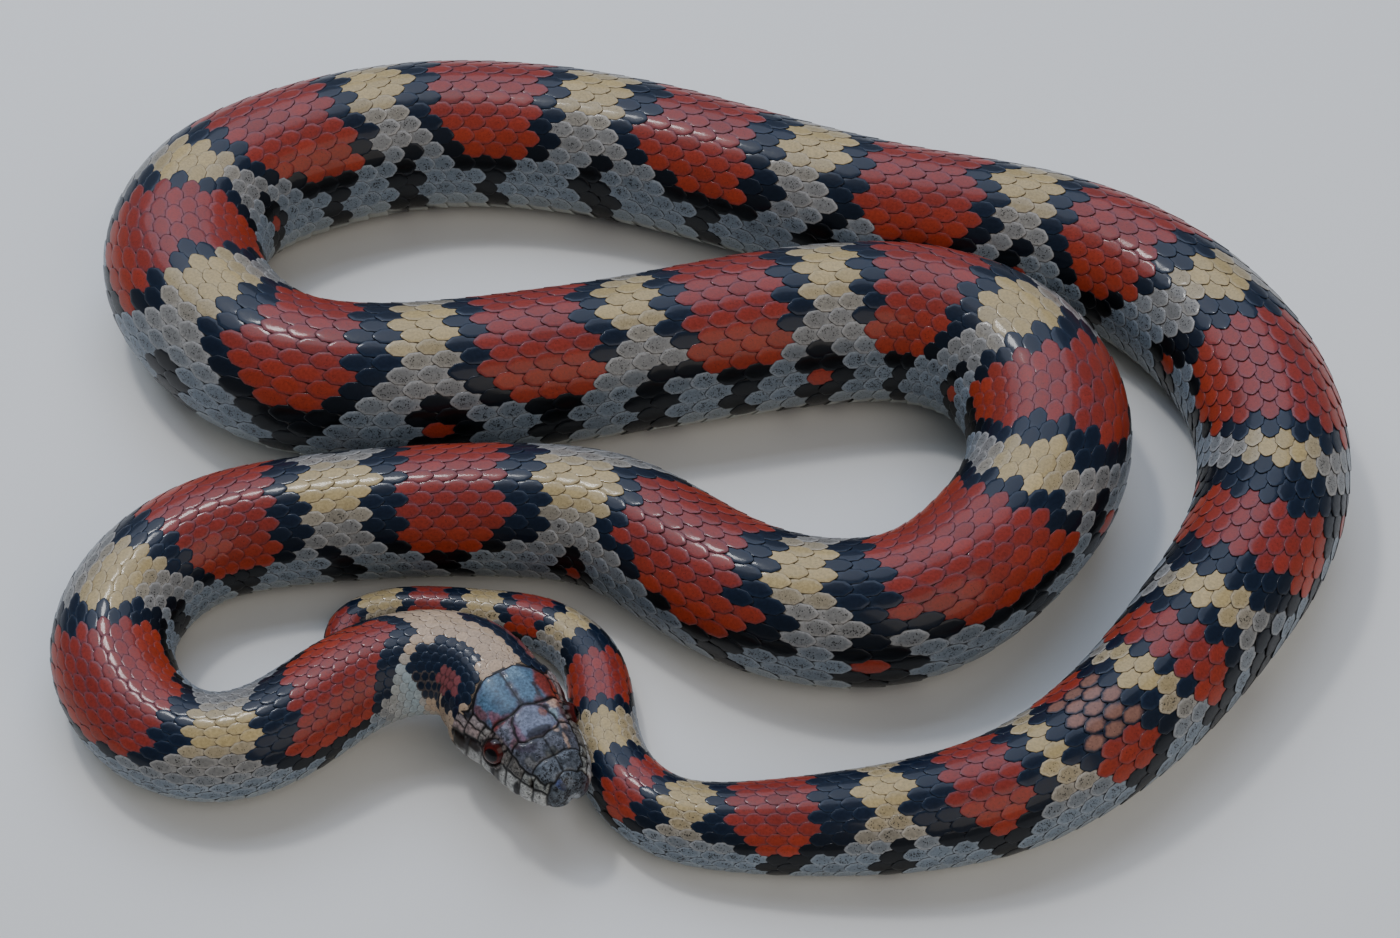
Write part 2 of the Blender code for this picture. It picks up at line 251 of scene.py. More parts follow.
def place_at(s, turn):
    """A place on the outside of the animal, in mm on the route's plan."""
    s, turn = np.broadcast_arrays(np.asarray(s, float), np.asarray(turn, float))
    middle, ahead, side, up = frame_at(s)
    body, (half, top, bottom, waist, flat) = section_at(s)
    power = 2 / (HEAD_SQUARENESS + (BODY_SQUARENESS - HEAD_SQUARENESS) * body)
    mouth = np.clip((MOUTH_CORNER - s) / 1.5, 0, 1)
    hand = np.sign(np.sin(turn))
    round_by = np.arccos(np.clip(np.cos(turn), -1, 1))
    cosine = np.abs(np.cos(round_by)) ** power
    level = waist + (np.where(round_by < np.pi / 2, top, bottom) - waist) * cosine
    level = np.maximum(level, flat)
    out = half * np.abs(np.sin(round_by)) ** power
    out = out * (1 - CROWN_TAPER * (1 - body) * np.clip(level, 0, None) / top)
    below = ease(round_by, LIP_AT - LIP_TURN, LIP_AT + LIP_TURN)
    groove = np.clip(1 - ((round_by - LIP_AT) / LIP_TURN) ** 2, 0, 1) ** 0.5
    out = out * (1 - JAW_NARROWER * mouth * below) - LIP_DEPTH * mouth * groove
    brow = np.exp(-((s - EYE_BACK) / 1.8) ** 2 - ((round_by / (np.pi / 2) - 0.42) / 0.16) ** 2)
    setback = JAW_SETBACK * np.clip(1 - s / 4, 0, 1) * below
    return (
        middle
        + side * (hand * (out + BROW_HEIGHT * brow))[..., None]
        + up * (level + BROW_HEIGHT * brow)[..., None]
        + ahead * setback[..., None]
    )


def outward_at(s, turn):
    """The direction out of the skin at each place."""
    along = place_at(s + 0.08, turn) - place_at(s - 0.08, turn)
    across = place_at(s, turn + 0.02) - place_at(s, turn - 0.02)
    return unit(np.cross(across, along))


print("widest place, mm", round(float(width_at(np.arange(20, 500.0)).max()), 1))

# %% [markdown]
# ## The rows of scales
# A milk snake has 21 rows of smooth scales round its back and sides at mid body, each row
# shifted by half a scale from the next, like roof tiles. The belly, a third of the way round,
# has single broad scutes. Towards the tail rows end one by one and their neighbours close up.
# Each row here has a width that fades out where it ends, and the fading also shifts the rows
# beside it, so that the tiling never breaks. The rows next to the belly are the widest.

# %% Where each row runs
SIDE_ROWS = 10
BACK_TURN = math.radians(119)
ROW_WIDTHS = (1.0, 1.0, 1.0, 1.0, 1.0, 1.02, 1.05, 1.08, 1.14, 1.26, 1.5)
ROW_ENDS = {7: 335, 5: 395, 8: 449, 4: 459, 6: 469, 3: 481, 9: 491, 2: 502}
ROW_FADE = 12.0
SCALE_LENGTH = (
    (12, 0.92), (22, 1.10), (36, 1.50), (60, 1.85), (90, 2.10), (140, 2.25), (190, 2.40),
    (340, 2.35), (400, 2.05), (432, 1.65), (460, 1.30), (488, 1.05), (505, 0.85), (513, 0.70),
)
TABLE_STEP = 0.25


def row_weights(s):
    """How wide each row is at distances from the snout, from the middle row outwards."""
    weights = np.array([np.full(len(s), float(width)) for width in ROW_WIDTHS])
    for row, end in ROW_ENDS.items():
        weights[row] *= 1 - ease(s, end - ROW_FADE / 2, end + ROW_FADE / 2)
    return weights


def scale_length(s):
    return smooth(SCALE_LENGTH, 1, s)


# %% Widths, turns and counts along the body
table_s = np.arange(0, LENGTH, TABLE_STEP)
row_table = row_weights(table_s)
row_sum = np.cumsum(row_table, 0) - row_table[:1] / 2
row_turn = BACK_TURN * (row_sum - row_table / 2) / row_sum[-1]
row_turn[0] = 0
row_pitch = BACK_TURN * row_table / row_sum[-1]
row_order = np.cumsum(np.minimum(row_table, 1), 0) - np.minimum(row_table, 1)
scale_count = np.cumsum(TABLE_STEP / scale_length(table_s))
print("scales along the back", int(scale_count[-1]), "rows at mid body", 2 * SIDE_ROWS + 1)

# %% [markdown]
# ## The markings
# Saddles of brick red cross the back, each edged with black and rounded off on the flank, with
# pale bands between them. Below each saddle a black bar runs down to the belly, and halfway
# between two saddles the pale band opens round a black blotch on the flank. The distances below
# are read along the back for each saddle: where its black starts, where its red starts and
# ends, where its black ends, where its lowest tip lies, and where the blotch behind it lies, if
# it has one. All the rest is one rule for every saddle. On the neck the back is rolled to one
# side, so the markings are turned there too. The nape has rounded marks of its own, each given
# by its kind, distance, half length, turn in degrees, half width in degrees, and how square it is.

# %% Where the saddles lie
SADDLES = (
    (20.8, 22.9, 30.3, 33.3, 26.6, 0), (38.1, 40.3, 50.6, 52.8, 47.3, 55.5),
    (59.1, 61.9, 71.1, 73.6, 67.0, 76.7), (80.1, 82.5, 91.1, 94.1, 86.6, 97.8),
    (101.1, 103.6, 113.6, 116.1, 112.8, 123.2), (121.6, 125.2, 137.6, 139.8, 134.5, 142.6),
    (145.1, 147.6, 156.1, 158.3, 152.5, 160.6), (163.6, 166.4, 174.6, 176.4, 172.0, 180.8),
    (182.1, 184.4, 192.6, 194.6, 188.6, 196.6), (199.6, 201.7, 210.1, 213.0, 205.2, 214.4),
    (218.1, 221.1, 230.1, 233.1, 225.6, 235.2), (239.1, 241.2, 249.6, 251.7, 243.4, 255.8),
    (256.1, 258.6, 269.1, 271.6, 267.0, 275.9), (277.1, 280.0, 290.1, 293.0, 286.0, 297.6),
    (299.6, 302.1, 312.1, 315.3, 309.8, 321.0), (321.1, 324.0, 333.6, 336.0, 330.4, 339.2),
    (341.6, 344.1, 353.6, 356.1, 350.0, 362.6), (362.1, 365.3, 376.6, 378.8, 371.8, 382.6),
    (383.1, 386.4, 392.6, 395.6, 389.2, 398.0), (399.4, 401.8, 405.0, 406.0, 404.0, 0),
    (408.9, 410.5, 415.1, 416.6, 412.2, 0), (419.0, 420.9, 425.7, 428.7, 422.8, 430.6),
    (432.6, 435.9, 442.0, 443.9, 438.6, 0), (447.1, 448.8, 451.7, 453.5, 450.2, 0),
    (457.9, 459.3, 464.1, 466.4, 461.7, 0), (469.1, 470.5, 473.3, 474.3, 471.9, 0),
    (477.6, 479.0, 481.7, 483.1, 480.3, 0), (486.1, 487.4, 491.1, 492.3, 489.2, 0),
    (495.3, 496.6, 499.4, 500.6, 498.0, 0), (503.6, 504.8, 507.3, 508.3, 506.0, 0),
)
print("saddles", len(SADDLES))

# %% How saddles, bars and blotches run down the side
SHOULDER = 36.0
TIP = 72.0
BLACK_TIP = 80.0
BAR_HALF = 1.55
BLOTCH_TOP = 52.0
BLOTCH_HALF = 2.1
HEART_SHARE = 0.40
HEART_AT = 86.0
HEART_REACH = 8.0
UNDERSIDE = 124.0
ROLL = ((0, 0), (11, 0), (15, -44), (21, -38), (28, -22), (38, -20), (46, -17), (62, 14),
        (92, 14), (112, 8), (142, 0), (520, 0))
LEAN = ((0, 0), (18, -0.040), (24, -0.040), (34, -0.02), (46, 0), (85, 0.0), (104, 0.015),
        (135, 0.012), (165, 0), (520, 0))
RED, BLACK, PALE, NAPE_PINK = range(4)
NAPE_MARKS = (
    (BLACK, 15.1, 4.5, -46, 39, 2.6), (NAPE_PINK, 14.1, 2.2, -49, 15, 2.0),
    (PALE, 14.2, 1.0, -68, 6, 2.0), (BLACK, 13.0, 4.0, 53, 29, 2.6),
    (NAPE_PINK, 13.4, 1.8, 57, 13, 2.0),
)


def pattern_turn(s, turn):
    """Degrees round from the middle of the pattern, with the roll of the neck taken out."""
    rolled = smooth(ROLL, 1, s) * (1 + np.cos(turn)) / 2
    return np.degrees(turn) - rolled


def arch(angle, tip):
    """How much of its full length a saddle keeps at an angle down its side."""
    past = np.clip((angle - SHOULDER) / (tip - SHOULDER), 0, 1)
    return (1 + 0.07 * ease(angle, 0, 32)) * np.sqrt(1 - past**2)


# %% Which marking a place has
def bands_at(s, turn):
    """Which marking each place has, and how far down the side it is, in degrees."""
    angle = pattern_turn(s, turn)
    at = s - smooth(LEAN, 1, s) * angle
    angle = np.abs(angle)
    edges = np.array(SADDLES)
    middles = (edges[:, 1] + edges[:, 2]) / 2
    which = np.abs(at[..., None] - middles).argmin(-1)
    first, red_from, red_to, last, tip = (edges[which, i] for i in range(5))
    middle = (red_from + red_to) / 2
    off = at - middle - (tip - middle) * ease(angle, 25, TIP)
    half = (red_to - red_from) / 2
    slim = 1 - 0.40 * ease(angle, 30, 70)
    before = (red_from - first) * slim
    after = (last - red_to) * slim
    small = np.clip(width_at(np.maximum(s, HEAD_END)) / 12, 0.3, 1)
    bar = BAR_HALF * small * (1 - 0.25 * ease(angle, 80, 115))
    black = (-off < np.maximum((half + before) * arch(angle, BLACK_TIP), bar)) & (
        off < np.maximum((half + after) * arch(angle, BLACK_TIP), bar)
    ) & (angle < UNDERSIDE)
    red = np.abs(off) < half * arch(angle, TIP)
    from_gap = np.abs(at[..., None] - edges[edges[:, 5] > 0, 5]).min(-1)
    spread = np.clip((angle - BLOTCH_TOP) / 30, 0, 1) ** 0.6 * (1 - 0.35 * ease(angle, 95, 118))
    blotch = (from_gap < BLOTCH_HALF * small * spread) & (angle < 122)
    heart = (from_gap < HEART_SHARE * BLOTCH_HALF * small) & (np.abs(angle - HEART_AT) < HEART_REACH)
    chequer = np.sin(s * 1.9) * np.cos(angle * 0.09) > -0.15
    checks = (angle > UNDERSIDE + 4) & (from_gap < 3.4 * small) & chequer
    kind = np.full(np.shape(s), PALE)
    kind[black | blotch | checks] = BLACK
    kind[red | (heart & (np.sin(middle * 3.7) > -0.2))] = RED
    for mark, at_s, long, at_turn, wide, power in NAPE_MARKS:
        off = np.abs((s - at_s) / long) ** power + np.abs((np.degrees(turn) - at_turn) / wide) ** power
        kind[off < 1] = mark
    return kind, angle


# %% [markdown]
# ## Colours
# Living keratin over pigment has deep, slightly uneven colour. The colours are given as sRGB
# hex values and one function turns them to linear light. The red is brick on the back and
# warmer, more orange, on the flank. The pale bands go from cream on the back to grey on the
# flank, and stay cream for longer on the tail; low on the flank the grey is painted bluer, a
# painted reflection of the sky. The black is painted with a blue cast on the back, a painted
# reflection of the sky. One saddle near the tail carries a painted sun glint: tan on the back,
# with black margins.

# %% One function from hex to linear light
def linear(hex_colour):
    """Linear red, green and blue of an sRGB hex colour."""
    parts = np.array([int(hex_colour[i:i + 2], 16) / 255 for i in (1, 3, 5)])
    return np.where(parts <= 0.04045, parts / 12.92, ((parts + 0.055) / 1.055) ** 2.4)


# %% Colours of the animal
RED_BACK = linear("#852d24")
RED_FLANK = linear("#96321a")
# The blue of the black on the back is a painted reflection of the sky; the flank keeps plain black.
BLACK_BACK_SKY_SHEEN = linear("#091628")
BLACK_FLANK = linear("#050608")
PALE_BACK = linear("#ab9566")
PALE_FLANK = linear("#85827b")
# Grey of the low flank with a painted blue reflection of the sky in it.
PALE_LOW_SKY_BLUE = linear("#73828e")
BELLY = linear("#a3a59d")
NAPE_ROSE = linear("#7d4446")
NAPE_CREAM = linear("#b1977c")
NAPE_GREY = linear("#93a1a4")
# Rim of the red scales: a mauve grey that stands for a painted sheen at the scale edges, strongest on the
# back.
RED_RIM_SHEEN = linear("#5f4654")
# Rim of the black scales: a blue grey that stands for a painted highlight at the scale edges.
BLACK_RIM_SHEEN = linear("#213145")
RIM_OF_PALE = linear("#bcb7b2")
SPECKLED = linear("#5f6063")
# A painted sun glint on one saddle near the tail: its red is turned tan on the back.
SUN_GLINT_TAN = linear("#7f5f50")
SUN_GLINT_SADDLE = 412.5
SUN_GLINT_HALF = 4.5
SUN_GLINT_TURN = 30.0


def mix(a, b, share):
    return a + (b - a) * np.asarray(share)[..., None]


# %% Colour of any place behind the head
def body_colour(s, turn):
    """Colours of a scale's middle and of its margin, and the amount of dark flecks."""
    kind, angle = bands_at(s, turn)
    nape = 1 - ease(s, 19, 26)
    on_right = ease(np.degrees(-turn), 24, 40) * nape
    angle = angle * (1 - 0.75 * nape)
    of_tail = ease(s, 380, 420)
    cream = mix(PALE_BACK, PALE_FLANK, ease(angle, 14 + 20 * of_tail, 40 + 26 * of_tail))
    # Low on the flank the grey is painted bluer: a painted reflection of the sky.
    cream = mix(cream, PALE_LOW_SKY_BLUE, ease(angle, 45, 80))
    cream = mix(cream, NAPE_CREAM, nape)
    cream = mix(cream, NAPE_GREY, on_right * ease(s, 17.5, 19.5))
    low = ease(np.abs(np.degrees(turn)), 104, 122)
    shaded = ease(angle, 10, 36) * (1 - low) * (1 - 0.7 * nape)
    cream = mix(cream, BELLY, low)
    red = mix(RED_BACK, RED_FLANK, ease(angle, 22, 62))
    # Where the painted sun glint lies: the back of one saddle near the tail.
    sun_glint = (np.abs(s - SUN_GLINT_SADDLE) < SUN_GLINT_HALF) & (angle < SUN_GLINT_TURN)
    red = mix(red, SUN_GLINT_TAN, 0.85 * sun_glint)
    # Black goes from the back, painted bluish as a reflection of the sky, to the plain black of the flank.
    black = mix(BLACK_BACK_SKY_SHEEN, BLACK_FLANK, ease(angle, 30, 75))
    colour = mix(cream, SPECKLED, 0.34 * shaded)
    margin = mix(cream, RIM_OF_PALE, 0.08 + 0.24 * shaded * (1 - 0.5 * ease(angle, 60, 85)))
    colour[kind == RED] = red[kind == RED]
    # Red margins are mixed towards a painted grey-blue sheen, stronger on the back than on the flank.
    margin[kind == RED] = mix(red, RED_RIM_SHEEN, 0.42 - 0.24 * ease(angle, 15, 55))[kind == RED]
    # The margins under the painted sun glint are black.
    margin[(kind == RED) & sun_glint] = black[(kind == RED) & sun_glint]
    colour[kind == BLACK] = black[kind == BLACK]
    # Black margins carry a painted blue-grey highlight on the back that fades out down the flank.
    margin[kind == BLACK] = mix(black, BLACK_RIM_SHEEN, 0.45 - 0.4 * ease(angle, 20, 60))[kind == BLACK]
    colour[kind == NAPE_PINK] = NAPE_ROSE
    margin[kind == NAPE_PINK] = NAPE_ROSE * 0.5
    tips = (kind == BLACK) & (s > 14.5) & (s < 19.5) & (np.abs(np.degrees(turn) + 68) < 20)
    margin[tips] = mix(black, NAPE_CREAM, 0.18)[tips]
    flecks = 0.25 + 0.75 * shaded + 0.25 * ease(angle, 60, 80) * (1 - low)
    flecks = flecks + 0.6 * (1 - ease(s, 12.0, 14.5))
    flecks = np.where(kind == PALE, flecks, np.where(kind == RED, 0.45, 0.0))
    return colour, margin, flecks


# %% [markdown]
# ## The plates of the head
# A milk snake's head isn't tiled with scales but covered with large plates that lie edge to
# edge: the rostral over the tip of the snout, pairs of internasals and prefrontals, one frontal
# between the eyes with a supraocular over each, two big parietals, and rows of labials along
# both lips. They could be separate thin meshes, but real ones join in hair-fine seams, so here
# they are drawn on the skin itself: each plate is an outline in distance and turn, and the skin
# sinks along every outline. The outlines below are for one side, and the other mirrors them.
# Each plate has a colour and an amount of dark flecks. Over them lie soft patches, each given by
# its distance from the snout, turn, half length in mm, half width in degrees, colour and
# strength: the brown stripe behind the eye, the bars on the lips, and the reddish and pale blots
# of the crown, which are pigment, and two light blue patches at the rear of the parietals, which
# are a painted reflection of the sky.

# %% Rows of plates along the lips
def lip_row(name, upper, lower):
    """Plates side by side along a lip, between their upper and lower corners."""
    return [(name, True, (*upper[k:k + 2], lower[k + 1], lower[k])) for k in range(len(upper) - 1)]


UPPER_LIP = lip_row(
    "labial",
    ((0.8, 67), (1.8, 69), (2.95, 69), (4.35, 70), (5.6, 68), (7.1, 67), (8.5, 70)),
    ((0.6, 106), (1.6, 106), (2.75, 106), (4.1, 106), (5.6, 106), (7.3, 106), (8.9, 106)),
)
LOWER_LIP = lip_row(
    "lower labial",
    ((0.8, 109), (2.0, 109), (3.2, 109), (4.4, 109), (5.7, 109), (7.1, 109), (8.6, 109), (10.0, 109)),
    ((1.0, 132), (2.2, 130), (3.4, 129), (4.7, 129), (6.0, 129), (7.4, 128), (8.7, 126), (9.6, 120)),
)
print("plates on each side of the lips", len(UPPER_LIP) + 1, "and", len(LOWER_LIP))

# %% Outlines of the plates
PLATES = (
    ("rostral", False, ((-2, 0), (1.35, 0), (0.95, 30), (0.6, 107), (-2, 107))),
    ("internasal", True, ((1.35, 0), (2.7, 0), (2.65, 26), (2.45, 45), (1.3, 47), (0.95, 30))),
    ("prefrontal", True, ((2.7, 0), (4.3, 0), (4.6, 18), (4.9, 27), (4.6, 45), (3.0, 50),
                          (2.45, 45), (2.65, 26))),
    ("frontal", False, ((4.3, 0), (7.45, 0), (7.05, 11), (6.3, 20), (4.9, 27), (4.6, 18))),
    ("supraocular", True, ((4.9, 27), (6.3, 20), (7.05, 11), (7.15, 28), (7.1, 45), (4.6, 45))),
    ("parietal", True, ((7.45, 0), (10.95, 0), (11.15, 12), (10.45, 30), (9.3, 47), (7.8, 46),
                        (7.1, 45), (7.15, 28), (7.05, 11))),
    ("nasal", True, ((0.95, 30), (1.3, 47), (2.05, 46), (2.05, 69), (0.8, 67))),
    ("nasal", True, ((2.05, 46), (2.45, 45), (3.0, 50), (2.85, 69), (2.05, 69))),
    ("loreal", True, ((3.0, 50), (4.45, 46), (4.45, 68), (2.85, 69))),
    ("preocular", True, ((4.45, 46), (4.6, 45), (5.2, 46), (5.2, 67), (4.45, 68))),
    ("eyelid", True, ((5.2, 46), (7.1, 45), (7.2, 67), (5.2, 67))),
    ("postocular", True, ((7.1, 45), (7.8, 46), (7.95, 56), (7.15, 57))),
    ("postocular", True, ((7.15, 57), (7.95, 56), (7.9, 69), (7.2, 68))),
    ("temporal", True, ((7.8, 46), (9.3, 47), (9.4, 58), (7.95, 57))),
    ("stripe", True, ((7.95, 57), (9.4, 58), (9.3, 72), (7.9, 70))),
    ("temporal", True, ((9.3, 47), (9.95, 38), (10.8, 46), (10.7, 56), (9.4, 57))),
    ("temporal", True, ((9.4, 57), (10.7, 56), (10.7, 67), (9.35, 66))),
    ("stripe", True, ((9.35, 66), (10.7, 67), (10.7, 78), (9.2, 76))),
    *UPPER_LIP,
    ("labial", True, ((8.5, 70), (9.3, 74), (10.4, 78), (10.4, 106), (8.9, 106))),
    ("mental", False, ((-2, 109), (0.8, 109), (1.0, 132), (1.35, 180), (-2, 180))),
    *LOWER_LIP,
    ("chin shield", True, ((1.0, 132), (3.9, 129), (4.3, 154), (4.1, 180), (1.35, 180))),
    ("chin shield", True, ((3.9, 129), (6.4, 129), (6.9, 146), (6.6, 168), (4.3, 180), (4.3, 154))),
)
print("plates of the head", 2 * sum(paired for _, paired, _ in PLATES) + 3)

# %% Colours of the plates and the patches over them
PLATE_LOOKS = {
    "rostral": ("#565c62", 1.3), "internasal": ("#5f656c", 1.2), "prefrontal": ("#585a63", 0.9),
    "frontal": ("#6f768a", 0.4), "supraocular": ("#6e717d", 0.8), "parietal": ("#4d6a80", 0.35),
    "nasal": ("#86867f", 1.0), "loreal": ("#65615b", 1.0), "preocular": ("#6b665f", 0.9),
    "eyelid": ("#2a1c19", 0.3), "postocular": ("#8f8880", 0.8), "temporal": ("#978985", 0.7),
    "stripe": ("#95827c", 0.4), "labial": ("#aeada7", 0.8), "mental": ("#a8a7a0", 0.8),
    "lower labial": ("#a8a79f", 0.6), "chin shield": ("#b6b4aa", 0.3),
}
EYE_STRIPE = (
    (7.3, 67, 0.45, 7, "#150a08", 0.95), (8.1, 75, 1.0, 7.5, "#1c0c07", 1.0),
    (9.5, 81, 1.3, 9, "#150b07", 1.0), (10.8, 90, 0.9, 10, "#170e0a", 0.95),
)
HEAD_PATCHES = (
    (7.6, -31, 0.8, 7, "#7c424a", 0.75), (8.7, -39, 1.0, 5, "#76403f", 0.75),
    (7.1, -21, 0.4, 8, "#6e4450", 0.6), (8.4, -19, 0.9, 7, "#35465a", 0.5),
    # The two light blue patches at the rear of the parietals are a painted reflection of the sky.
    (10.3, -10, 0.7, 10, "#5f7c90", 0.6), (10.2, 9, 0.7, 7, "#6f8c9e", 0.7),
    (8.6, 38, 1.7, 14, "#7a2a1c", 0.95), (7.5, 47, 0.8, 9, "#8f3a1e", 0.7),
    (7.2, 18, 0.5, 6, "#6c3a34", 0.6), (8.1, 21, 0.8, 2.6, "#2f1d1a", 0.85),
    (6.2, 13, 0.45, 5, "#86461f", 0.7), (4.8, -2, 0.42, 12, "#1d1b23", 0.85),
    (5.6, -19, 1.1, 4.5, "#7a5060", 0.65), (7.0, -32, 0.4, 8, "#7a3026", 0.8),
    (5.0, -30, 0.45, 7, "#7a4a50", 0.7), (6.65, 32, 0.45, 8, "#c09a80", 0.8),
    (4.6, 31, 0.5, 5, "#b09080", 0.6), (5.7, 24, 0.5, 4, "#86a0a6", 0.6),
    (5.9, 40, 0.8, 6, "#5a2a20", 0.7), (4.2, -18, 0.5, 15, "#3c3743", 0.85),
    (3.1, -32, 0.6, 8, "#77746c", 0.5), (3.0, 0, 0.5, 7, "#45453c", 0.7),
    (4.45, 18, 0.25, 4, "#c0a088", 0.7), (3.35, 24, 0.6, 3.5, "#b99a84", 0.8),
    (3.9, 32, 0.6, 7, "#3a2c2c", 0.6), (0.6, -19, 0.35, 10, "#33407a", 0.5),
    (1.7, 18, 0.6, 15, "#3a3c40", 0.6), (10.2, -50, 0.9, 9, "#131a26", 0.95),
    (10.9, -30, 0.4, 12, "#182434", 0.9),
    *((at_s, hand * turn, *rest) for hand in (-1, 1) for at_s, turn, *rest in EYE_STRIPE),
    (5.4, -88, 0.58, 18, "#050303", 1.0), (5.8, -75, 1.0, 6, "#060404", 1.0),
    (3.08, -88, 0.24, 16, "#080504", 1.0), (5.4, 88, 0.5, 18, "#050303", 1.0),
    (5.8, 75, 1.0, 6, "#060404", 1.0), (3.2, 86, 0.22, 15, "#080504", 1.0),
)
CROWN_PLATES = ("parietal", "frontal", "supraocular")
SNOUT_PLATES = ("rostral", "internasal", "prefrontal", "supraocular", "nasal")
SEAM_BLACK = linear("#0b0808")
REDDENED = linear("#5c3238")
MOTTLE = linear("#20242a")
# Near black for the groove between the lips: a painted shade in the mouth's crease.
LIP_GAP_SHADE = linear("#0a0606")
print("patches of pigment", len(HEAD_PATCHES))

# %% A chart of distances round the head
CHART_STEP = 0.05
CHART_S = np.arange(0, 13.01, CHART_STEP)
CHART_TURN = np.radians(np.arange(0, 181, 1.0))
chart = place_at(CHART_S[:, None], CHART_TURN[None, :])
chart_arc = np.concatenate(
    [np.zeros((len(CHART_S), 1)), np.cumsum(np.linalg.norm(np.diff(chart, axis=1), axis=2), 1)], 1
)
print("half way round the head, mm", round(float(chart_arc[-1, -1]), 1))


def arc_at(s, turn):
    """Distance in mm round the head from the middle of the crown."""
    row = np.clip(np.asarray(s, float) / CHART_STEP, 0, len(CHART_S) - 1.001)
    column = np.clip(np.degrees(np.asarray(turn, float)), 0, 179.999)
    r = row.astype(int)
    c = column.astype(int)
    fr = row - r
    fc = column - c
    near = chart_arc[r, c] * (1 - fc) + chart_arc[r, c + 1] * fc
    far = chart_arc[r + 1, c] * (1 - fc) + chart_arc[r + 1, c + 1] * fc
    return near * (1 - fr) + far * fr


# %% Which plate holds a place
def inside(outline, x, y):
    """Which points lie inside an outline."""
    hit = np.zeros(np.shape(x), bool)
    for (x0, y0), (x1, y1) in zip(outline, np.roll(outline, -1, 0)):
        crosses = (y0 > y) != (y1 > y)
        if y1 != y0:
            hit ^= crosses & (x < (x1 - x0) * (y - y0) / (y1 - y0) + x0)
    return hit


def from_line(a, b, x, y):
    """Distance of points from one stretch of a seam."""
    along = b - a
    t = np.clip(((x - a[0]) * along[0] + (y - a[1]) * along[1]) / max(along @ along, 1e-9), 0, 1)
    return np.hypot(x - a[0] - t * along[0], y - a[1] - t * along[1])


def plates_at(s, turn):
    """The plate that holds each place of the head, and its distance from the nearest seam."""
    round_by = np.abs(turn)
    x = s + 0.05 * np.sin(5.1 * s + 9 * round_by) + 0.03 * np.sin(13 * round_by + 2)
    y = np.maximum(arc_at(s, round_by) + 0.04 * np.sin(6.3 * s + 1), 1e-4)
    owner = np.full(np.shape(s), -1)
    seam = np.full(np.shape(s), 9.0)
    for number, (name, paired, corners) in enumerate(PLATES):
        outline = np.array([(a, arc_at(max(a, 0), math.radians(b))) for a, b in corners])
        owner[inside(outline, x, y)] = number
        for k, (a, b) in enumerate(corners):
            a2, b2 = corners[(k + 1) % len(corners)]
            on_middle = b == b2 and b in (0, 180)
            on_lip = 104 < b < 111 and 104 < b2 < 111
            if a < -1 or a2 < -1 or on_lip or (on_middle and not paired):
                continue
            seam = np.minimum(seam, from_line(outline[k], outline[(k + 1) % len(corners)], x, y))
    return owner, seam


# %% Soft, uneven pigment
def cloud(x, y, size):
    """Soft random values between 0 and 1 that change over this many mm."""
    table = np.random.default_rng(5).random((64, 64))
    u = np.asarray(x) / size
    v = np.asarray(y) / size
    i = np.floor(u).astype(int)
    j = np.floor(v).astype(int)
    fu = ease(u - i, 0, 1)
    fv = ease(v - j, 0, 1)
    near = table[i % 64, j % 64] * (1 - fu) + table[(i + 1) % 64, j % 64] * fu
    far = table[i % 64, (j + 1) % 64] * (1 - fu) + table[(i + 1) % 64, (j + 1) % 64] * fu
    return near * (1 - fv) + far * fv


# %% [markdown]
# ## The skin
# One skin stands for all the solids of flesh, from the snout to the tip of the tail, so no cut
# shows. It is a loft of rings, set in code because each ring has its own place and turn: about
# thirteen rings to the millimetre on the head, where it carries the plates, nostrils, lips and
# the sockets of the eyes, and one a millimetre on the body, where it lies a sixth of a
# millimetre down and only shows between the scales. Two closed ends and one row of wider faces
# where the rings change make it a single closed mesh.

# %% Sizes of the skin and places of the neckline, eyes and nostrils
HEAD_RING = 0.075
BODY_RING = 1.1
FINE_TO = 13.6
FINE_AROUND = 288
COARSE_AROUND = 72
COAT_DEPTH = 0.17
SEAM_DEPTH = 0.075
PLATE_DOME = 0.05
UNDER_COAT = 0.40
NECKLINE = ((0, 11.05), (12, 11.1), (30, 10.45), (47, 9.9), (58, 10.6), (78, 10.6), (92, 10.4),
            (108, 10.1), (122, 9.4), (132, 7.4), (180, 6.7))
EYE_OUT = 2.98
EYE_UP = 1.15
EYE_RADIUS = 1.10
NOSTRIL = (2.05, 62.0)


def coat_scale(s):
    """How thick the coat is there, beside the thickest part of the body."""
    return np.clip(width_at(np.maximum(s, HEAD_END)) / 13, 0.35, 1)


def neckline_at(turn):
    """Where the plates of the head end and the scales begin."""
    return smooth(NECKLINE, 1, np.degrees(np.arccos(np.clip(np.cos(turn), -1, 1))))


def head_point(back, out, level):
    """A point of the head from the snout's tip, its middle plane and the neck's middle."""
    middle, ahead, side, up = (v[0] for v in frame_at(np.array([HEAD_END])))
    return middle - ahead * (HEAD_END - back) + side * out + up * level


def to_metres(points):
    return (points - CENTRE) * MM


# %% Rings of the skin
def skin_rings(s, around):
    """The rings of the skin at distances from the snout, with their relief and colours."""
    turn = np.linspace(0, 2 * np.pi, around, endpoint=False)
    turn = np.where(turn > np.pi, turn - 2 * np.pi, turn)
    grid_s, grid_turn = np.meshgrid(s, turn, indexing="ij")
    points = place_at(grid_s, grid_turn)
    outward = outward_at(grid_s, grid_turn)
    covered = ease(grid_s, neckline_at(grid_turn), neckline_at(grid_turn) + 0.12)
    colour, _, flecks = body_colour(grid_s, grid_turn)
    depth = COAT_DEPTH * coat_scale(grid_s) * covered
    return points, outward, depth, covered, colour * UNDER_COAT, flecks, grid_s, grid_turn


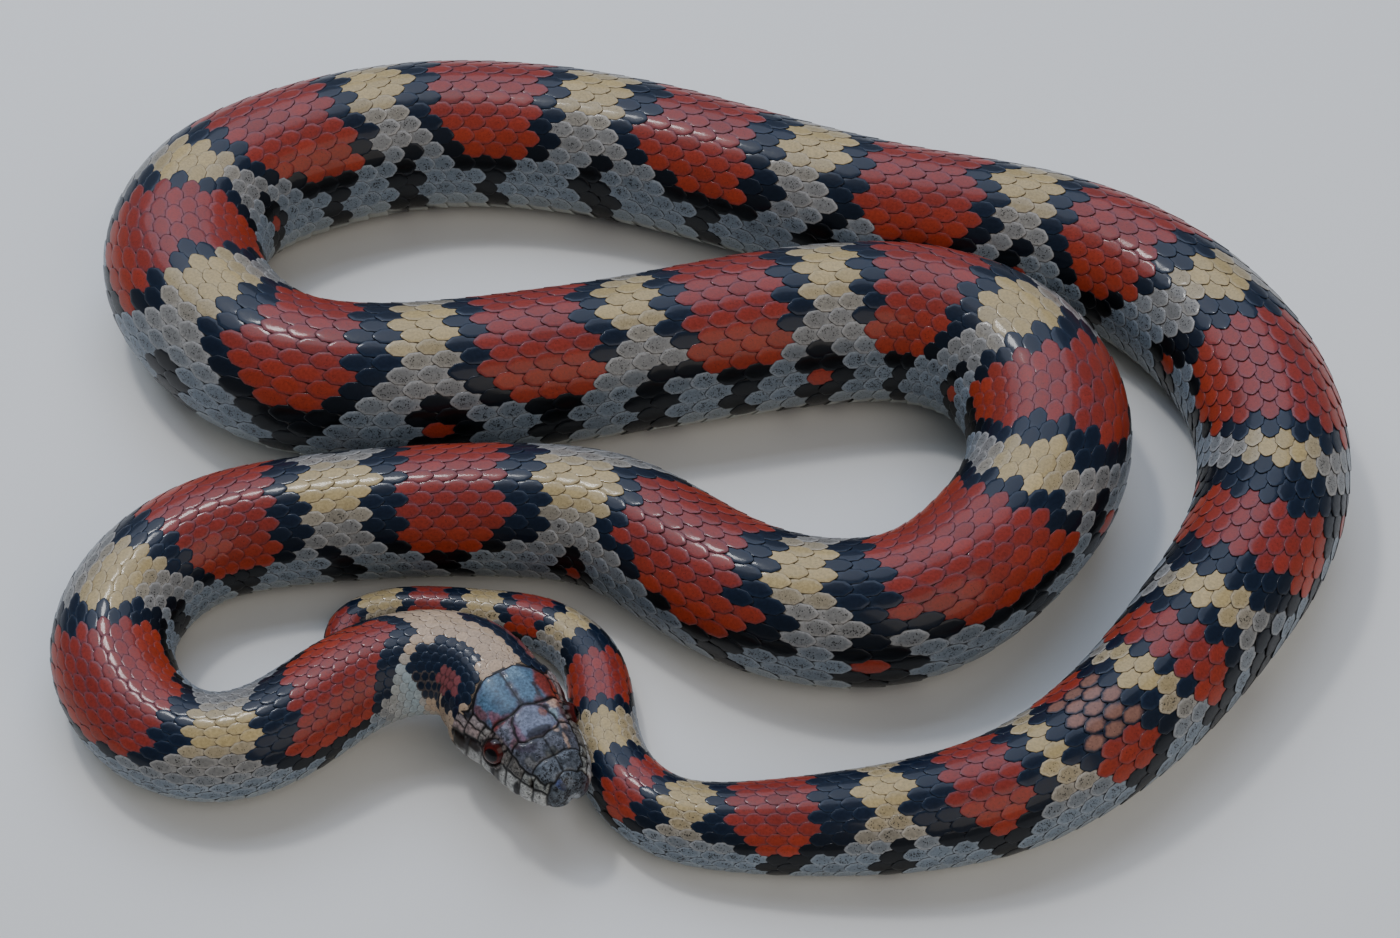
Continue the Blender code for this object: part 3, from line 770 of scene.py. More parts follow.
# %% Colours of the head
def head_colour(s, turn, owner, seam):
    """Colours and flecks of the plates, with patches across them and dark seams."""
    colour = np.tile(linear("#8f8a84"), (*s.shape, 1))
    flecks = np.full(s.shape, 0.5)
    degrees = np.degrees(turn)
    for number, (name, _, _) in enumerate(PLATES):
        here = owner == number
        hex_colour, fleck = PLATE_LOOKS[name]
        colour[here] = linear(hex_colour)
        flecks[here] = fleck
    names = np.array([name for name, _, _ in PLATES] + ["none"])[owner]
    crown = np.isin(names, CROWN_PLATES)
    round_by = arc_at(s, np.abs(turn)) * np.sign(turn) + 20
    rough = cloud(s, round_by, 0.55) + 0.6 * cloud(s + 9, round_by, 0.24) - 0.8
    reddened = near(seam, 0.30 + 0.22 * rough) * crown
    colour = mix(colour, REDDENED, 0.62 * reddened)
    for s0, turn0, long, wide, hex_colour, share in HEAD_PATCHES:
        off = ((s - s0) / long) ** 2 + ((degrees - turn0) / wide) ** 2
        patch = share * (1 - ease(off + rough * (1.4 - 0.9 * (share >= 0.95)), 0.45, 1.55))
        colour = mix(colour, linear(hex_colour), patch)
        flecks = flecks * (1 - patch * 0.8)
    mottled = ease(cloud(s + 4, round_by, 0.20) + 0.5 * cloud(s, round_by + 7, 0.42), 0.72, 1.02)
    amount = 0.30 + 0.35 * np.isin(names, SNOUT_PLATES)
    colour = mix(colour, MOTTLE, amount * mottled)
    behind = np.abs(s - neckline_at(turn)) < 0.22
    broad = np.where(names == "parietal", 0.17, np.where(crown, 0.12, 0.095))
    line = np.maximum(near(seam, broad, 4), behind & (np.abs(degrees) < 60))
    colour = mix(colour, SEAM_BLACK, 0.97 * line)
    # The groove between the lips is painted near black, a painted shade in the crease.
    lip_gap_shade = near(np.abs(turn) - LIP_AT, LIP_TURN) * (s < MOUTH_CORNER)
    return mix(colour, LIP_GAP_SHADE, 0.95 * lip_gap_shade), flecks * (1 - line)


# %% The rings of the head, with the plates pressed in
head_s = np.arange(0, FINE_TO, HEAD_RING)
points, outward, depth, covered, colour, flecks, grid_s, grid_turn = skin_rings(head_s, FINE_AROUND)
owner, seam = plates_at(grid_s, grid_turn)
plate_colour, plate_flecks = head_colour(grid_s, grid_turn, owner, seam)
colour = mix(plate_colour, colour, covered)
flecks = plate_flecks + (flecks - plate_flecks) * covered
bare = 1 - covered
depth = depth + bare * (SEAM_DEPTH * near(seam, 0.10) - PLATE_DOME * (1 - near(seam, 0.30)))
print("points of the head", points.shape[0] * points.shape[1])

# %% [markdown]
# ## Nostrils and eye sockets
# The nostril is a pit in the nasal plate, and the eye sits in a cup with a low ring of tiny
# plates round it. A snake has no eyelids: a clear scale covers the eye and joins this ring. Both
# are pushed into the same skin, so there is no edge to match.

# %% Nostrils
NOSTRIL_SIZE = 0.27
NOSTRIL_DEPTH = 0.32
nostril_arc = arc_at(grid_s, np.abs(grid_turn)) - arc_at(NOSTRIL[0], math.radians(NOSTRIL[1]))
nostril_gap = np.hypot((grid_s - NOSTRIL[0] + 0.5 * nostril_arc) * 1.25, nostril_arc * 0.85)
pit = near(nostril_gap, NOSTRIL_SIZE, 4)
depth = depth + NOSTRIL_DEPTH * pit - 0.05 * near(nostril_gap - 0.36, 0.12)
# The inside of the pit is painted near black: painted shade in the nostril.
colour = mix(colour, linear("#180b07"), pit)
flecks = flecks * (1 - pit)
head_points = points - outward * depth[..., None]
print("deepest pit of the skin, mm", round(float(depth.max()), 2))

# %% Sockets with a ring of tiny plates
axes = [v[0] for v in frame_at(np.array([HEAD_END]))]
for hand in (1, -1):
    eye = head_point(EYE_BACK, hand * EYE_OUT, EYE_UP)
    off = head_points - eye
    along = off @ axes[1]
    aside = off @ axes[2] * hand
    high = off @ axes[3]
    spread = np.hypot(along, high)
    on_side = (np.sign(grid_turn) == hand) & (aside > -1.2)
    ring = near(spread - 1.16, 0.13) - 0.8 * near(spread - 1.36, 0.06)
    head_points += (axes[2] * hand) * (0.075 * ring * on_side)[..., None]
    cup = (spread < 1.0) & on_side
    reach = -np.sqrt(np.clip(1.13**2 - spread**2, 0, None)) - aside
    fade = 1 - ease(spread, 0.93, 1.0)
    head_points += (axes[2] * hand) * (np.where(cup, reach * fade, 0))[..., None]
    dark = (1 - ease(spread, 1.10, 1.30)) * on_side
    colour = mix(colour, linear("#120b0a"), 0.9 * dark)
    beads = near(spread - 1.24, 0.10) * (np.cos(14 * np.arctan2(high, along)) > -0.5)
    colour = mix(colour, linear("#8d7f78"), 0.55 * beads * on_side)
print("sockets, mm up", round(float(head_point(EYE_BACK, EYE_OUT, EYE_UP)[2]), 1))

# %% [markdown]
# ## Closing the skin
# The fine rings of the head are joined to the coarser rings of the body, four fine places to one
# coarse one, and both ends are closed with a fan round one point. The colours go into the mesh as
# attributes, so that the material can read them.

# %% Helpers that turn arrays into a piece
def paint_points(mesh, name, colour):
    """Give each point of a mesh a colour that a material can read."""
    paint = mesh.color_attributes.new(name, "FLOAT_COLOR", "POINT")
    paint.data.foreach_set("color", np.concatenate([colour, np.ones((len(colour), 1))], 1).ravel())


def new_mesh(name, points, faces, colour, margin, flecks, rim):
    """A piece from arrays of places in mm, with its colours as attributes."""
    mesh = bpy.data.meshes.new(name)
    mesh.from_pydata(to_metres(points).tolist(), [], faces)
    mesh.shade_smooth()
    paint_points(mesh, "markings", colour)
    paint_points(mesh, "margins", margin)
    for title, values in (("flecks", flecks), ("rim", rim)):
        mesh.attributes.new(title, "FLOAT", "POINT").data.foreach_set("value", np.asarray(values, float))
    mesh.validate()
    thing = bpy.data.objects.new(name, mesh)
    bpy.context.collection.objects.link(thing)
    return thing


def ring_faces(first, rows, around):
    """Four-sided faces between rings that follow one another."""
    row, column = np.meshgrid(np.arange(rows - 1), np.arange(around), indexing="ij")
    a = first + row * around + column
    b = first + row * around + (column + 1) % around
    return np.stack([a, b, b + around, a + around], -1).reshape(-1, 4).tolist()


# %% The skin as one closed mesh
body_s = np.append(np.arange(head_s[-1] + 0.5, LENGTH - 0.4, BODY_RING), LENGTH - 0.12)
b_points, b_outward, b_depth, _, b_colour, b_flecks, _, _ = skin_rings(body_s, COARSE_AROUND)
b_points = b_points - b_outward * b_depth[..., None]
tip_front = head_points[0].mean(0) - axes[1] * 0.10
tip_back = b_points[-1].mean(0) + (b_points[-1].mean(0) - b_points[-2].mean(0)) * 0.15
snout_core = head_points[0].mean(0)
cap_rings = [snout_core + (head_points[0] - snout_core) * k - axes[1] * 0.10 * (1 - k) for k in (0.35, 0.7)]
all_points = np.concatenate(
    [[tip_front], *cap_rings, head_points.reshape(-1, 3), b_points.reshape(-1, 3), [tip_back]]
)
snout_paint = np.tile(linear("#8b9094"), (1 + 2 * FINE_AROUND, 1))
all_colour = np.concatenate([snout_paint, colour.reshape(-1, 3), b_colour.reshape(-1, 3), [BLACK_FLANK]])
all_flecks = np.concatenate([np.ones(len(snout_paint)), flecks.ravel(), b_flecks.ravel(), [0]])
fine_rows = len(head_s) + 2
faces = [[0, 1 + (k + 1) % FINE_AROUND, 1 + k] for k in range(FINE_AROUND)]
faces += ring_faces(1, fine_rows, FINE_AROUND)
last_fine = 1 + (fine_rows - 1) * FINE_AROUND
first_coarse = last_fine + FINE_AROUND
share = FINE_AROUND // COARSE_AROUND
for k in range(COARSE_AROUND):
    fine = [last_fine + (share * k + i) % FINE_AROUND for i in range(share + 1)]
    faces.append(fine + [first_coarse + (k + 1) % COARSE_AROUND, first_coarse + k])
faces += ring_faces(first_coarse, len(body_s), COARSE_AROUND)
last_ring = first_coarse + (len(body_s) - 1) * COARSE_AROUND
end = len(all_points) - 1
faces += [[last_ring + k, last_ring + (k + 1) % COARSE_AROUND, end] for k in range(COARSE_AROUND)]
skin = new_mesh("skin", all_points, faces, all_colour, all_colour, all_flecks, 0 * all_flecks)
print("skin faces", len(skin.data.polygons))


# %% Faces to the outside
def face_outwards(thing):
    """Turn every face of a closed piece to the outside."""
    mesh = bmesh.new()
    mesh.from_mesh(thing.data)
    bmesh.ops.recalc_face_normals(mesh, faces=mesh.faces)
    inward = mesh.calc_volume(signed=True) < 0
    if inward:
        bmesh.ops.reverse_faces(mesh, faces=mesh.faces)
    open_edges = sum(1 for edge in mesh.edges if not edge.is_manifold)
    mesh.to_mesh(thing.data)
    mesh.free()
    print(thing.name, "open edges", open_edges, "turned" if inward else "kept")


face_outwards(skin)

# %% [markdown]
# ## One scale
# The scales of a milk snake are smooth and flat: a six-sided leaf, held at the front under its
# neighbours and free at the back, thin at the edge and very slightly domed. One leaf is designed
# here as three rings of points round a middle, in its own length and width, and every scale of
# the coat is a copy of it, laid on the body. Instancing would be lighter, but instances don't
# outlive the export, so the copies are real and share a mesh for each length of the body.

# %% Outline and thickness of a scale, in its own length and width
LEAF_FRONT = -0.70
LEAF_BACK = 0.56
LEAF = ((LEAF_BACK, 0.0), (0.51, 0.20), (0.27, 0.58), (-0.14, 0.65), (-0.42, 0.50), (-0.64, 0.27),
        (LEAF_FRONT, 0.0))
LEAF_MIDDLE = ((0.41, 0.0), (0.36, 0.10), (0.19, 0.37), (-0.10, 0.39), (-0.25, 0.24), (-0.33, 0.11),
               (-0.36, 0.0))
LEAF_CENTRE = (0.04, 0.0)
OUTLINE_POINTS = 2 * len(LEAF) - 2
SHOULDER_SHARE = 0.76
ROOT_LIFT = 0.035
TIP_RISE = 0.125
EDGE_DROP = 0.025
EDGE_THICK = 0.055
print("points in the outline of a scale", OUTLINE_POINTS)


# %% The leaf that all scales are copied from
def leaf():
    """Points of one scale: along, across, height, share from the middle, and its faces."""
    outline, inner = (
        np.array(half + tuple((u, -v) for u, v in half[-2:0:-1])) for half in (LEAF, LEAF_MIDDLE)
    )
    count = OUTLINE_POINTS
    rings = [outline, inner + (outline - inner) * SHOULDER_SHARE, inner]
    flat = np.concatenate([*rings, [LEAF_CENTRE], outline])
    rim = np.repeat([1.0, 0.5 + 0.5 * SHOULDER_SHARE, 0.5, 0.0, 1.0], [count, count, count, 1, count])
    tilt = ROOT_LIFT + TIP_RISE * (flat[:, 0] - LEAF_FRONT) / (LEAF_BACK - LEAF_FRONT)
    rise = np.interp(rim, (0, 0.5, 0.88, 1), (0.014, 0.012, 0.004, -0.016))
    height = tilt + rise
    height[-count:] = tilt[-count:] - EDGE_DROP - EDGE_THICK
    under = 3 * count + 1
    faces = []
    for k in range(count):
        n = (k + 1) % count
        faces.append((k, n, count + n, count + k))
        faces.append((count + k, count + n, 2 * count + n, 2 * count + k))
        faces.append((2 * count + k, 2 * count + n, 3 * count))
        faces.append((n, k, under + k, under + n))
    faces.append(tuple(under + k for k in range(count - 1, -1, -1)))
    return flat, height, rim, faces


leaf_flat, leaf_height, leaf_rim, leaf_faces = leaf()
print("points in a scale", len(leaf_flat), "faces", len(leaf_faces))

# %% [markdown]
# ## Where the scales go
# Along each row the scales follow one another at a scale's length, half a length out of step
# with the rows beside it, from the neckline to the tail. On the outside of a bend the rows are
# stretched and the skin shows between the scales, and inside it they crowd, so the leaves keep
# more of their own length there than the surface does.

# %% Scales of one row
ROW_LEAST = 0.45
chance = np.random.default_rng(11)


def side_bend(s):
    """How sharply the route bends to the snake's left, for each mm of the way."""
    _, a, side, _ = frame_at(s - 1.5)
    _, b, _, _ = frame_at(s + 1.5)
    return ((b - a) * side).sum(-1) / 3


def row_scales(row):
    """Distances from the snout and turns of the scales in one row."""
    phase = scale_count + 0.5 * row_order[row]
    numbers = np.arange(math.ceil(phase[0]), math.floor(phase[-1]) + 1)
    s = np.interp(numbers, phase, table_s)
    turn = np.interp(s, table_s, row_turn[row])
    pitch = np.interp(s, table_s, row_pitch[row])
    full = np.interp(s, table_s, row_table[row]) > ROW_LEAST * ROW_WIDTHS[row]
    keep = full & (s > neckline_at(turn) + 0.15) & (s < LENGTH - 1.6)
    return s[keep], turn[keep], pitch[keep]


# %% A list of all scales, with those of the throat
THROAT_COLUMNS = 10
THROAT_STEP = math.radians(13)
THROAT_START = 6.9
THROAT_END = 10.9
THROAT_LENGTH = 1.1
seeds = []
for row in range(SIDE_ROWS + 1):
    s, turn, pitch = row_scales(row)
    for hand in (1, -1) if row else (1,):
        seeds.append(np.stack([s, hand * turn, pitch], 1))
for k in range(THROAT_COLUMNS):
    turn = BACK_TURN + THROAT_STEP * (k + 0.5)
    s = np.arange(THROAT_START + 0.5 * THROAT_LENGTH * (k % 2), THROAT_END, THROAT_LENGTH)
    s = s[s > neckline_at(turn) + 0.1]
    seeds.append(np.stack([s, np.full(len(s), turn), np.full(len(s), THROAT_STEP)], 1))
seeds = np.concatenate(seeds)
seeds = seeds[np.argsort(seeds[:, 0], kind="stable")]
print("scales in the coat", len(seeds))

# %% [markdown]
# ## Laying the coat
# Each copy of the leaf is bent round the body by placing its points by distance and turn. Its
# colour is read once, at its own middle, so the borders between the bands run in steps from
# scale to scale, as on the animal, and each scale is a little lighter or darker than the next.
# Pale scales have a light rim. Red and black ones have a rim painted greyer and bluer, most of all on the
# back: a painted sheen.
# The coat's own UV map is an unwrap of the skin, cut into lengths that are stacked like lines of
# text. Each scale is one small patch on it, at the place of its root.

# %% The coat's own UV map
UV_LINES = 8
UV_EDGE = 0.02
LINE_EDGE = 0.06
UV_PATCH = 0.003


def unwrap(s, turn, first, last):
    """Place on the unwrap of the skin, in lines laid one above the other."""
    along = (s - first) / (last - first) * UV_LINES * 0.999
    line = np.clip(np.floor(along), 0, UV_LINES - 1)
    around = (turn / (2 * np.pi) + 0.5) % 1
    u = UV_EDGE + (1 - 2 * UV_EDGE) * (along - line)
    return u, (line + LINE_EDGE + (1 - 2 * LINE_EDGE) * around) / UV_LINES


def add_uv_map(piece, u, v):
    """Give each corner of each face the place of its point on the unwrap."""
    corner = np.zeros(len(piece.data.loops), int)
    piece.data.loops.foreach_get("vertex_index", corner)
    layer = piece.data.uv_layers.new(name="OFBake")
    layer.data.foreach_set("uv", np.stack([u.ravel()[corner], v.ravel()[corner]], 1).ravel())


# %% The coat, in five pieces
# Share of its colour that the underside of a scale keeps: a painted shade under its free edge.
UNDERSIDE_SHADE = 0.35


def lay_coat(name, seeds):
    """One piece of the coat from distance, turn and pitch of its scales."""
    s0, turn0, pitch = (seeds[:, i:i + 1] for i in range(3))
    size = scale_length(s0)
    bend = side_bend(s0[:, 0])[:, None]
    stretch = np.clip(1 - bend * np.sin(turn0) * width_at(s0) / 2, 0.6, 1.5)
    size = size * np.clip(stretch, 0.8, 2) ** -0.35
    wobble = chance.normal(0, 0.012, (len(seeds), 2))
    along, across = leaf_flat.T
    s = s0 + size * (along + wobble[:, :1])
    turn = turn0 + pitch * (across + wobble[:, 1:])
    lift = chance.normal(0, 0.006, (len(seeds), 1))
    height = (leaf_height - COAT_DEPTH + lift * np.clip(along + 0.3, 0, 1)) * coat_scale(s0)
    points = place_at(s, turn) + outward_at(s, turn) * height[..., None]
    tone = 1 + chance.normal(0, 0.06, (len(seeds), 1))
    # The underside of each scale is painted darker, a painted shade under the leaf.
    underside = np.arange(len(leaf_flat)) >= len(leaf_flat) - OUTLINE_POINTS
    tone = (tone * np.where(underside, UNDERSIDE_SHADE, 1))[..., None]
    colour, margin, flecks = body_colour(s0, turn0)
    flecks = flecks * (1 - 0.8 * leaf_rim**2)
    rim = np.broadcast_to(leaf_rim, flecks.shape)
    faces = [
        tuple(first + corner for corner in face)
        for first in range(0, flecks.size, len(leaf_flat)) for face in leaf_faces
    ]
    piece = new_mesh(name, points.reshape(-1, 3), faces, (colour * tone).reshape(-1, 3),
                     (margin * tone).reshape(-1, 3), flecks.ravel(), rim.ravel())
    u, v = unwrap(s0, turn0, s0.min() - 1, s0.max() + 1)
    half_patch = UV_PATCH / 2 / -LEAF_FRONT
    add_uv_map(piece, u + half_patch * along, v + half_patch * across)
    return piece


COAT_PIECES = 5
coat = []
for k, part in enumerate(np.array_split(seeds, COAT_PIECES)):
    coat.append(lay_coat(f"coat_{k + 1}", part))
    coat[-1].data.calc_loop_triangles()
    print(coat[-1].name, "triangles", len(coat[-1].data.loop_triangles))

# %% [markdown]
# ## The scutes of the belly
# Under the body a snake has one broad scute for each step of its scales, wrapped up over the
# edge of the belly, and behind the vent they go in pairs. Each is a strip laid across, with its
# free edge to the back. They carry the weight, so they lie exactly at the floor.

# %% The shell of one scute
ACROSS = 19
SCUTE_ROWS = np.array((-0.62, -0.2, 0.25, 0.48, 0.54))[:, None]
SCUTE_RISE = np.array((0.02, 0.06, 0.11, 0.145, 0.115))[:, None]
SCUTE_THICK = 0.07
SCUTE_TURN = math.pi - BACK_TURN + math.radians(5)
PAIR_OVERLAP = math.radians(4)


def scute_shell(rows, across):
    """Faces of one scute: its top, its underside, and the edge between them."""
    count = rows * across
    faces = []
    for r in range(rows - 1):
        for c in range(across - 1):
            a = r * across + c
            b = a + count
            faces.append((a, a + 1, a + across + 1, a + across))
            faces.append((b + across, b + across + 1, b + 1, b))
    rim = list(range(across))
    rim += [r * across + across - 1 for r in range(1, rows)]
    rim += [(rows - 1) * across + c for c in range(across - 2, -1, -1)]
    rim += [r * across for r in range(rows - 2, 0, -1)]
    faces += [(b, a, count + a, count + b) for a, b in zip(rim, rim[1:] + rim[:1])]
    return faces


shell = scute_shell(len(SCUTE_ROWS), ACROSS)
print("faces in a scute", len(shell))


# %% Scutes laid across the belly
def lay_scutes(name, rows):
    """A piece of scutes from their distance, length, and the two turns that they reach between."""
    q = np.linspace(-1, 1, ACROSS)
    ends = 1 - 0.55 * np.abs(q) ** 8
    u = SCUTE_ROWS * np.where(SCUTE_ROWS > 0, ends, 1)
    rise = SCUTE_RISE * (1 - 0.4 * np.abs(q) ** 10)
    points = []
    paint = []
    flecks = []
    on_map = []
    faces = []
    for k, (s0, size, low, high) in enumerate(rows):
        turns = np.tile(math.pi + low + (high - low) * (q + 1) / 2, (len(SCUTE_ROWS), 1))
        s = s0 + size * u
        coat = float(coat_scale(np.array([s0]))[0])
        top = np.minimum((rise - COAT_DEPTH) * coat, -0.01)
        place = place_at(s, turns)
        outward = outward_at(s, turns)
        points += [place + outward * level[..., None] for level in (top, top - SCUTE_THICK * coat)]
        look, _, fleck = body_colour(s * 0.25 + (s0 - 0.05 * size) * 0.75, turns)
        look = look * (1 + chance.normal(0, 0.04)) * (1 + 0.12 * (SCUTE_ROWS > 0.45))[..., None]
        # The underside of each scute is painted at half its colour, a painted shade under the scute.
        paint += [look, 0.5 * look]
        flecks += [fleck, fleck]
        line_u, line_v = unwrap(np.full(turns.shape, s0), turns, 0, LENGTH)
        on_map += [(line_u + UV_PATCH * u, line_v)] * 2
        faces += [tuple(2 * k * turns.size + corner for corner in face) for face in shell]
    paint = np.reshape(paint, (-1, 3))
    flecks = np.ravel(flecks)
    piece = new_mesh(name, np.reshape(points, (-1, 3)), faces, paint, paint, flecks, 0 * flecks)
    add_uv_map(piece, *np.swapaxes(on_map, 0, 1))
    return piece


# %% Broad scutes, the anal plate and the pairs under the tail
steps = np.arange(math.ceil(scale_count[0]), math.floor(scale_count[-1]))
step_s = np.interp(steps, scale_count, table_s)
lengths = scale_length(step_s)
single = (step_s > 11.2) & (step_s < VENT - 1.2)
paired = (step_s > VENT + 1.4) & (step_s < LENGTH - 2.2)
scutes = [(s0, size, -SCUTE_TURN, SCUTE_TURN) for s0, size in zip(step_s[single], lengths[single])]
anal_plate = 1.5 * float(scale_length(np.array([VENT]))[0])
scutes.append((VENT + 0.1, anal_plate, -SCUTE_TURN, SCUTE_TURN))
for s0, size in zip(step_s[paired], lengths[paired]):
    scutes.append((s0, size, -SCUTE_TURN, PAIR_OVERLAP))
    scutes.append((s0 + 0.5 * size, size, -PAIR_OVERLAP, SCUTE_TURN))
belly = lay_scutes("belly_scutes", scutes)
face_outwards(belly)
print("scutes", len(scutes))

# %% [markdown]
# ## The eyes
# The eye of a milk snake is small, with a round pupil and a reddish brown iris, under a clear
# fixed scale that stands a little out of the socket. Each eye is a ball with its pole on the
# line of sight, moved forward along that line in edit mode, before it is turned into place. The
# rings round the pole carry the colours of pupil, iris and rim, and the material makes the
# clear, wet scale over them.

# %% Sizes and colours of the eyes
PUPIL = linear("#030203")
IRIS_INNER = linear("#541009")
IRIS = linear("#380906")
IRIS_OUTER = linear("#1b0504")
EYE_RIM = linear("#0a0606")
SIGHT_OUT = 0.80
SIGHT_AHEAD = 0.46
SIGHT_UP = 0.38
EYE_FORWARD = 0.07


def aimed(place, direction, up):
    """The matrix that puts a thing at a place, its own z axis along a direction."""
    ahead = unit(np.array(direction, float))
    level = unit(np.cross(up, ahead))
    basis = np.eye(4)
    basis[:3] = np.stack([level, np.cross(ahead, level), ahead, place], 1)
    return Matrix(basis.tolist())


# %% Balls with pupil and iris
def make_eye(name, hand):
    """One eye, its pole on the line of sight."""
    bpy.ops.object.select_all(action="DESELECT")
    bpy.ops.mesh.primitive_uv_sphere_add(segments=64, ring_count=48, radius=EYE_RADIUS * MM)
    eye = bpy.context.object
    eye.name = name
    local = np.zeros(len(eye.data.vertices) * 3)
    eye.data.vertices.foreach_get("co", local)
    local = local.reshape(-1, 3)
    off_axis = np.degrees(np.arccos(np.clip(local[:, 2] / np.linalg.norm(local, axis=1), -1, 1)))
    bpy.ops.object.mode_set(mode="EDIT")
    bpy.ops.mesh.select_all(action="SELECT")
    bpy.ops.transform.translate(value=(0, 0, EYE_FORWARD * MM))
    bpy.ops.object.mode_set(mode="OBJECT")
    spoke = np.degrees(np.arctan2(local[:, 1], local[:, 0]))
    fibre = 0.5 + 0.5 * np.sin(np.radians(spoke * 23)) * np.cos(np.radians(spoke * 9 + 40))
    colour = mix(PUPIL, IRIS_INNER, ease(off_axis, 29, 32))
    colour = mix(colour, IRIS, ease(off_axis, 31, 42) * (0.7 + 0.3 * fibre))
    colour = mix(colour, IRIS_OUTER, ease(off_axis, 48, 66))
    colour = mix(colour, EYE_RIM, ease(off_axis, 68, 78))
    paint_points(eye.data, "markings", colour)
    place = to_metres(head_point(EYE_BACK, hand * EYE_OUT, EYE_UP))
    sight = axes[2] * hand * SIGHT_OUT - axes[1] * SIGHT_AHEAD + axes[3] * SIGHT_UP
    eye.matrix_world = aimed(place, sight, axes[3])
    bpy.ops.object.transform_apply(location=True, rotation=True, scale=True)
    bpy.ops.object.shade_smooth()
    return eye


eyes = [make_eye("eyeball_left", 1), make_eye("eyeball_right", -1)]
print("eyes, mm across", round(2 * EYE_RADIUS, 2))

# %% [markdown]
# ## Keratin, skin and cornea
# Snake scales are beta keratin, the stuff of claws: smooth, slightly clear and glossy like a
# fingernail, index near 1.55, with the pigment under it. That gives a soft broad highlight and a
# thin sharp one over it, so the shader has a rough base and a smooth coat. Dark flecks a tenth
# to a fifth of a millimetre across lie in the pale scales and on the snout. The skin between
# the scales is the same, only duller. The eye is wet and clear.

# %% One function that adds a node
def add(tree, kind, inputs=(), **settings):
    """Add a node, set its values, and give its inputs a value or another node's output."""
    node = tree.nodes.new(kind)
    for name, value in settings.items():
        if name in node.bl_rna.properties:
            setattr(node, name, value)
        else:
            node.inputs[name.replace("_", " ")].default_value = value
    for name, source in inputs:
        if isinstance(source, bpy.types.NodeSocket):
            tree.links.new(source, node.inputs[name])
        else:
            node.inputs[name].default_value = source
    return node


def new_material(name):
    """A material with no nodes yet, and its node tree."""
    material = bpy.data.materials.new(name)
    material.use_nodes = True
    material.node_tree.nodes.clear()
    return material, material.node_tree


def per_metre(millimetres):
    """Texture scale for a pattern whose parts are this far apart."""
    return 1 / (millimetres * MM)


# %% Keratin over pigment
def scale_material(name, roughness, gloss, bump, mottle, speck):
    """Glossy keratin over the markings, with uneven pigment and dark flecks, speck mm apart."""
    material, tree = new_material(name)
    place = add(tree, "ShaderNodeTexCoord").outputs["Object"]
    paint, border = (
        add(tree, "ShaderNodeAttribute", attribute_name=title).outputs["Color"]
        for title in ("markings", "margins")
    )
    fleck, rim = (
        add(tree, "ShaderNodeAttribute", attribute_name=title).outputs["Fac"]
        for title in ("flecks", "rim")
    )
    blots = add(tree, "ShaderNodeTexNoise", [("Vector", place)], Scale=per_metre(0.45), Detail=3.0)
    ragged = add(tree, "ShaderNodeMath", [(0, blots.outputs["Fac"]), (1, 0.45), (2, rim)],
                 operation="MULTIPLY_ADD")
    at_margin = add(tree, "ShaderNodeMapRange", [("Value", ragged.outputs[0])],
                    From_Min=0.68, From_Max=1.08, To_Min=0.0, To_Max=1.0)
    at_edge = add(tree, "ShaderNodeMapRange", [("Value", rim)],
                  From_Min=0.90, From_Max=1.0, To_Min=0.0, To_Max=0.75)
    cells = add(tree, "ShaderNodeTexVoronoi", [("Vector", place)], Scale=per_metre(speck), Randomness=1.0)
    size = add(tree, "ShaderNodeMapRange", [("Value", blots.outputs["Fac"])],
               From_Min=0.36, From_Max=0.62, To_Min=0.05, To_Max=0.46)
    weight = add(tree, "ShaderNodeMath", [(0, size.outputs["Result"]), (1, fleck)], operation="MULTIPLY")
    inner = add(tree, "ShaderNodeMath", [(0, weight.outputs[0]), (1, cells.outputs["Distance"])],
                operation="SUBTRACT")
    mask = add(tree, "ShaderNodeMapRange", [("Value", inner.outputs[0])],
               From_Min=-0.10, From_Max=0.06, To_Min=0.0, To_Max=0.86)
    grain = add(tree, "ShaderNodeTexNoise", [("Vector", place)], Scale=per_metre(0.22), Detail=4.0)
    tone = add(tree, "ShaderNodeMapRange", [("Value", grain.outputs["Fac"])],
               From_Min=0.3, From_Max=0.7, To_Min=1 - mottle, To_Max=1 + 0.8 * mottle)
    bordered = add(tree, "ShaderNodeMix", [
        ("Factor", at_margin.outputs["Result"]), (6, paint), (7, border),
    ], data_type="RGBA")
    toned = add(tree, "ShaderNodeVectorMath", [(0, bordered.outputs[2]), ("Scale", tone.outputs["Result"])],
                operation="SCALE")
    darkest = add(tree, "ShaderNodeMath", [(0, mask.outputs["Result"]), (1, at_edge.outputs["Result"])],
                  operation="MAXIMUM")
    mixed = add(tree, "ShaderNodeMix", [
        ("Factor", darkest.outputs[0]), (6, toned.outputs[0]), (7, (*linear("#151112"), 1)),
    ], data_type="RGBA")
    rough = add(tree, "ShaderNodeMapRange", [("Value", grain.outputs["Fac"])],
                From_Min=0.3, From_Max=0.7, To_Min=roughness - 0.06, To_Max=roughness + 0.08)
    fine = add(tree, "ShaderNodeTexNoise", [("Vector", place)], Scale=per_metre(0.07), Detail=2.0)
    relief = add(tree, "ShaderNodeBump", [("Height", fine.outputs["Fac"])],
                 Strength=bump, Distance=0.012 * MM)
    shader = add(tree, "ShaderNodeBsdfPrincipled", [
        ("Base Color", mixed.outputs[2]), ("Roughness", rough.outputs["Result"]),
        ("Normal", relief.outputs["Normal"]),
    ], IOR=1.55, Specular_IOR_Level=0.14, Coat_Weight=gloss, Coat_Roughness=0.10, Coat_IOR=1.5)
    add(tree, "ShaderNodeOutputMaterial", [("Surface", shader.outputs["BSDF"])])
    return material


